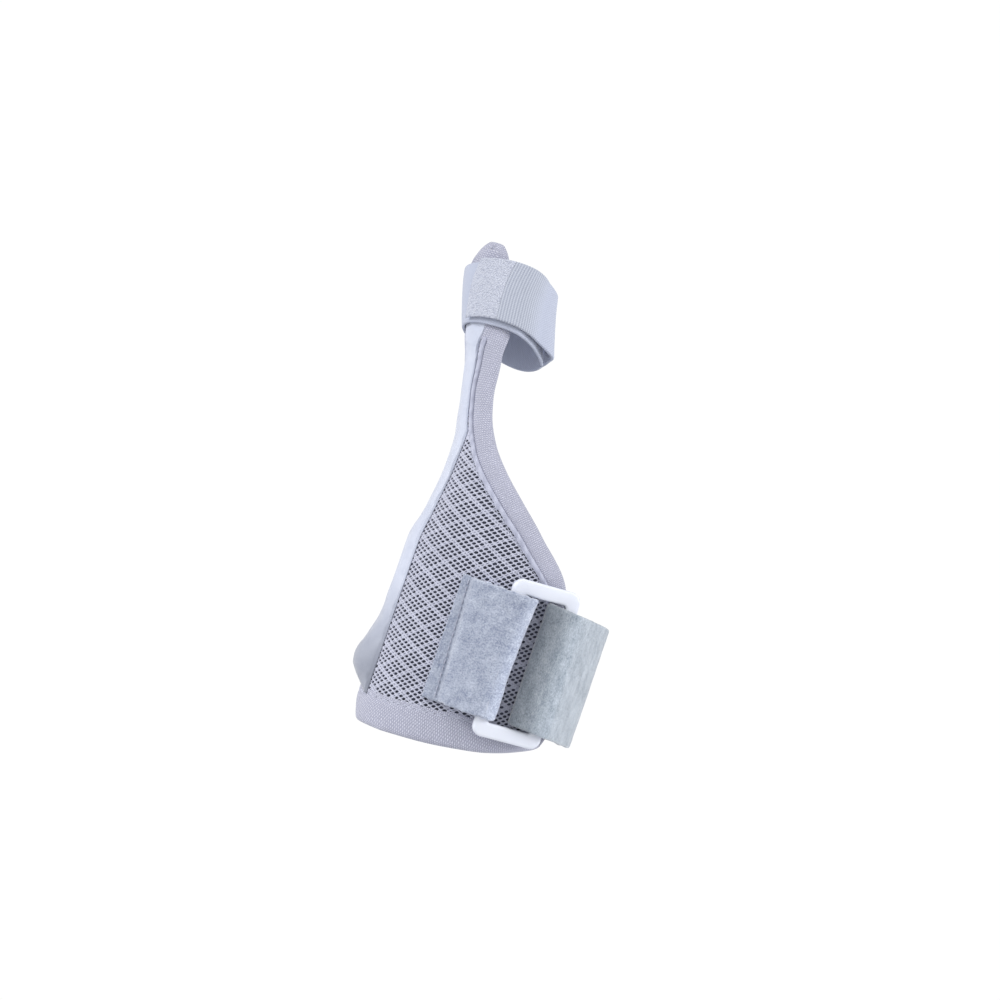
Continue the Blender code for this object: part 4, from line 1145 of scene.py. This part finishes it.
# Turns as shares of the girth, layers, stand-off over the tongue, and how far the band is lowered
THUMB_WRAP_ROWS = [
    (0.42, 0, 0.00, 1), (0.34, 0, 0.00, 1), (0.26, 0, 0.30, 1), (0.20, 0, 1.00, 1), (0.10, 0, 1.00, 1),
    (0.00, 0, 1.00, 0.5), (-0.10, 0, 1.00, 0), (-0.20, 0, 1.00, 0), (-0.26, 0, 0.30, 0), (-0.34, 0, 0.00, 0),
    (-0.44, 0, 0.00, 0), (-0.52, 0, 0.15, 0), (-0.58, 0, 0.75, 0), (-0.615, 1, 0.85, 0), (-0.65, 1, 0.60, 0),
    (-0.70, 1, 0.25, 0), (-0.76, 1, 0.60, 0), (-0.81, 1, 1.00, 0), (-0.88, 1, 1.00, 0),
]
THUMB_TAB_ROWS = [(-0.8801, 1, 1.00, 0), (-0.94, 1, 1.00, 0), (-1.00, 1, 1.00, 0)]

# Woven elastic: fine cross ribs that part the light, a close diagonal weave between them
elastic, tree, shader, where = new_material("woven_elastic", uv=True)
set_cloth(shader, sheen=0.3, roughness=0.8)
RIB_START = -20.0  # mm, counted back from the seam of the hook tape
RIB_PITCH = 1.1  # mm between ribs on the stretched elastic
ribs = add_node(
    tree, "TexWave", {"bands_direction": "X"}, Vector=where, Scale=0.314 / RIB_PITCH, Distortion=0.5,
    Detail=1.0, Detail_Scale=1.5,
)
close = add_node(
    tree, "TexWave", {"bands_direction": "DIAGONAL"}, Vector=where, Scale=0.62, Distortion=0.8,
    Detail=1.0,
)
place_on = add_node(tree, "SeparateXYZ", Vector=where)
stretched = add_node(
    tree, "MapRange", Value=place_on.outputs["X"], From_Min=RIB_START, From_Max=RIB_START + 7,
    To_Min=0.12,
)
ribbed = add_node(
    tree, "Math", {"operation": "MULTIPLY"}, i0=ribs.outputs["Fac"], i1=stretched.outputs["Result"],
)
mixed = add_node(
    tree, "Math", {"operation": "MULTIPLY_ADD"}, i0=close.outputs["Fac"], i2=ribbed.outputs[0], i1=0.35,
)
reach_of = add_node(tree, "MapRange", Value=mixed.outputs[0], From_Max=1.3)
blend = add_node(
    tree, "Mix", {"data_type": "RGBA"}, Factor=reach_of.outputs["Result"], i6="#A4AABD", i7="#CFD5E2",
)
shaded = add_node(
    tree, "Math", {"operation": "MULTIPLY_ADD"}, i0=stretched.outputs["Result"], i1=-0.26, i2=1.04,
)
tone = add_node(tree, "HueSaturation", Color=blend.outputs[2], Value=shaded.outputs[0])
relief = add_node(tree, "Bump", Height=mixed.outputs[0], Strength=0.4, Distance=0.0002)
add_node(tree, shader, Base_Color=tone.outputs["Color"], Normal=relief.outputs["Normal"])


def thumb_surface(table, count, columns):
    """The middle surface of the thumb strap from a table of its turns."""
    table = np.array(table, float)
    turns = np.linspace(table[0, 0], table[-1, 0], count)
    layers, stand_off, lowered = (
        np.interp(-turns, -table[:, 0], table[:, k]) for k in (1, 2, 3)
    )
    kernel = np.array([1, 2, 3, 4, 3, 2, 1]) / 16
    smooth = lambda v: np.convolve(np.pad(v, 3, mode="edge"), kernel, mode="valid")
    layers, stand_off, lowered = smooth(layers), smooth(stand_off), smooth(lowered)
    turned = float(np.interp(THUMB_STRAP_HEIGHT, form_heights, form_turn))
    arch = THUMB_STRAP_ARCH * np.sin(turned + 2 * math.pi * turns)
    centre = THUMB_STRAP_HEIGHT + arch - THUMB_STRAP_STEP * lowered
    lift = GAP + THUMB_STRAP_THICKNESS / 2 + stand_off * (PANEL_THICKNESS + GAP)
    lift = lift + layers * (THUMB_STRAP_THICKNESS + GAP)
    wide = close_at_edges(columns) / 2
    height = centre[:, None] + wide[None] * THUMB_STRAP_WIDTH
    middle = place(height, turns[:, None] * 2 * half_girth(height), lift[:, None] + 0 * height)
    along = run_along(middle)
    return middle, along, wide + 0.5


for name, table, count, material, node in (
    ("thumb_band", THUMB_WRAP_ROWS, 260, elastic, "thumb_strap"),
    ("thumb_hook_patch", THUMB_TAB_ROWS, 30, hook_tape, "thumb_hook_tab"),
):
    middle, along, wide = thumb_surface(table, count, THUMB_COLUMNS)
    first = node == "thumb_strap"
    half = round_edges(count, wide, BAND_THICKNESS, THUMB_STRAP_WIDTH, 0.6 * MM, not first, first)
    if first:
        along = along - along[-1:]
    piece = add_strip(name, middle, half, along, np.broadcast_to(wide * THUMB_STRAP_WIDTH, along.shape))
    piece.data.materials.append(material)
    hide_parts(node)

# Studio
# A round matt white floor well below the splint, a white surround, and three broad soft lights:
# one high at the left, one low at the right, and a weak one high in front.

# Matt white studio paint with a faint roller texture
paint, tree, shader, where = new_material("matt_studio_paint")
shader.inputs["Roughness"].default_value = 0.95
roller = add_node(tree, "TexNoise", Vector=where, Scale=40.0, Detail=2.0)
blend = add_node(
    tree, "Mix", {"data_type": "RGBA"}, Factor=roller.outputs["Fac"], i6="#DCDDE0", i7="#E3E4E7",
)
add_node(tree, shader, Base_Color=blend.outputs[2])

FLOOR_RADIUS, FLOOR_HEIGHT, FLOOR_SIDES = 1.3, -0.45, 96
floor_mesh = bpy.data.meshes.new("studio_floor")
turns = [2 * math.pi * k / FLOOR_SIDES for k in range(FLOOR_SIDES)]
rim = [(FLOOR_RADIUS * math.cos(t), FLOOR_RADIUS * math.sin(t), FLOOR_HEIGHT) for t in turns]
floor_mesh.from_pydata(rim, [], [tuple(range(FLOOR_SIDES))])
floor_mesh.materials.append(paint)
floor = add_object("studio_floor", floor_mesh)

# The surround is white at the height of the lens and dimmer overhead, so that the cloth keeps its shading
world = bpy.data.worlds.new("white_surround")
world.use_nodes = True
tree = world.node_tree
coord = add_node(tree, "TexCoord")
direction = add_node(tree, "SeparateXYZ", Vector=coord.outputs["Generated"])
slope = add_node(tree, "Math", {"operation": "ABSOLUTE"}, i0=direction.outputs["Z"])
rise = add_node(
    tree, "MapRange", {"interpolation_type": "SMOOTHSTEP"}, Value=slope.outputs[0], From_Min=0.15,
    From_Max=0.45, To_Min=1.02, To_Max=0.4,
)
tree.links.new(rise.outputs["Result"], tree.nodes["Background"].inputs["Strength"])
tree.nodes["Background"].inputs["Color"].default_value = (1.0, 1.0, 1.0, 1.0)
bpy.context.scene.world = world

for name, spot, softness, power in (
    ("left_light", (-0.9, -0.35, 0.75), 28, 2.1),
    ("right_light", (1.0, -0.35, 0.3), 35, 1.9),
    ("front_light", (0.0, -0.8, 1.0), 40, 0.45),
):
    lamp = bpy.data.lights.new(name, "SUN")
    lamp.angle = math.radians(softness)
    lamp.energy = power
    stand = add_object(name, lamp)
    stand.location = spot
    stand.rotation_euler = (-Vector(spot)).to_track_quat("-Z", "Y").to_euler()

lens = bpy.data.cameras.new("camera")
lens.sensor_width = 36.0
lens.lens = 147.7
lens.clip_start = 0.05
camera = add_object("camera", lens)
camera.location = (0.00585, -1.6, 0.0554)
camera.rotation_euler = (math.radians(90), 0, 0)
bpy.context.scene.camera = camera
bpy.context.scene.view_settings.view_transform = "Standard"
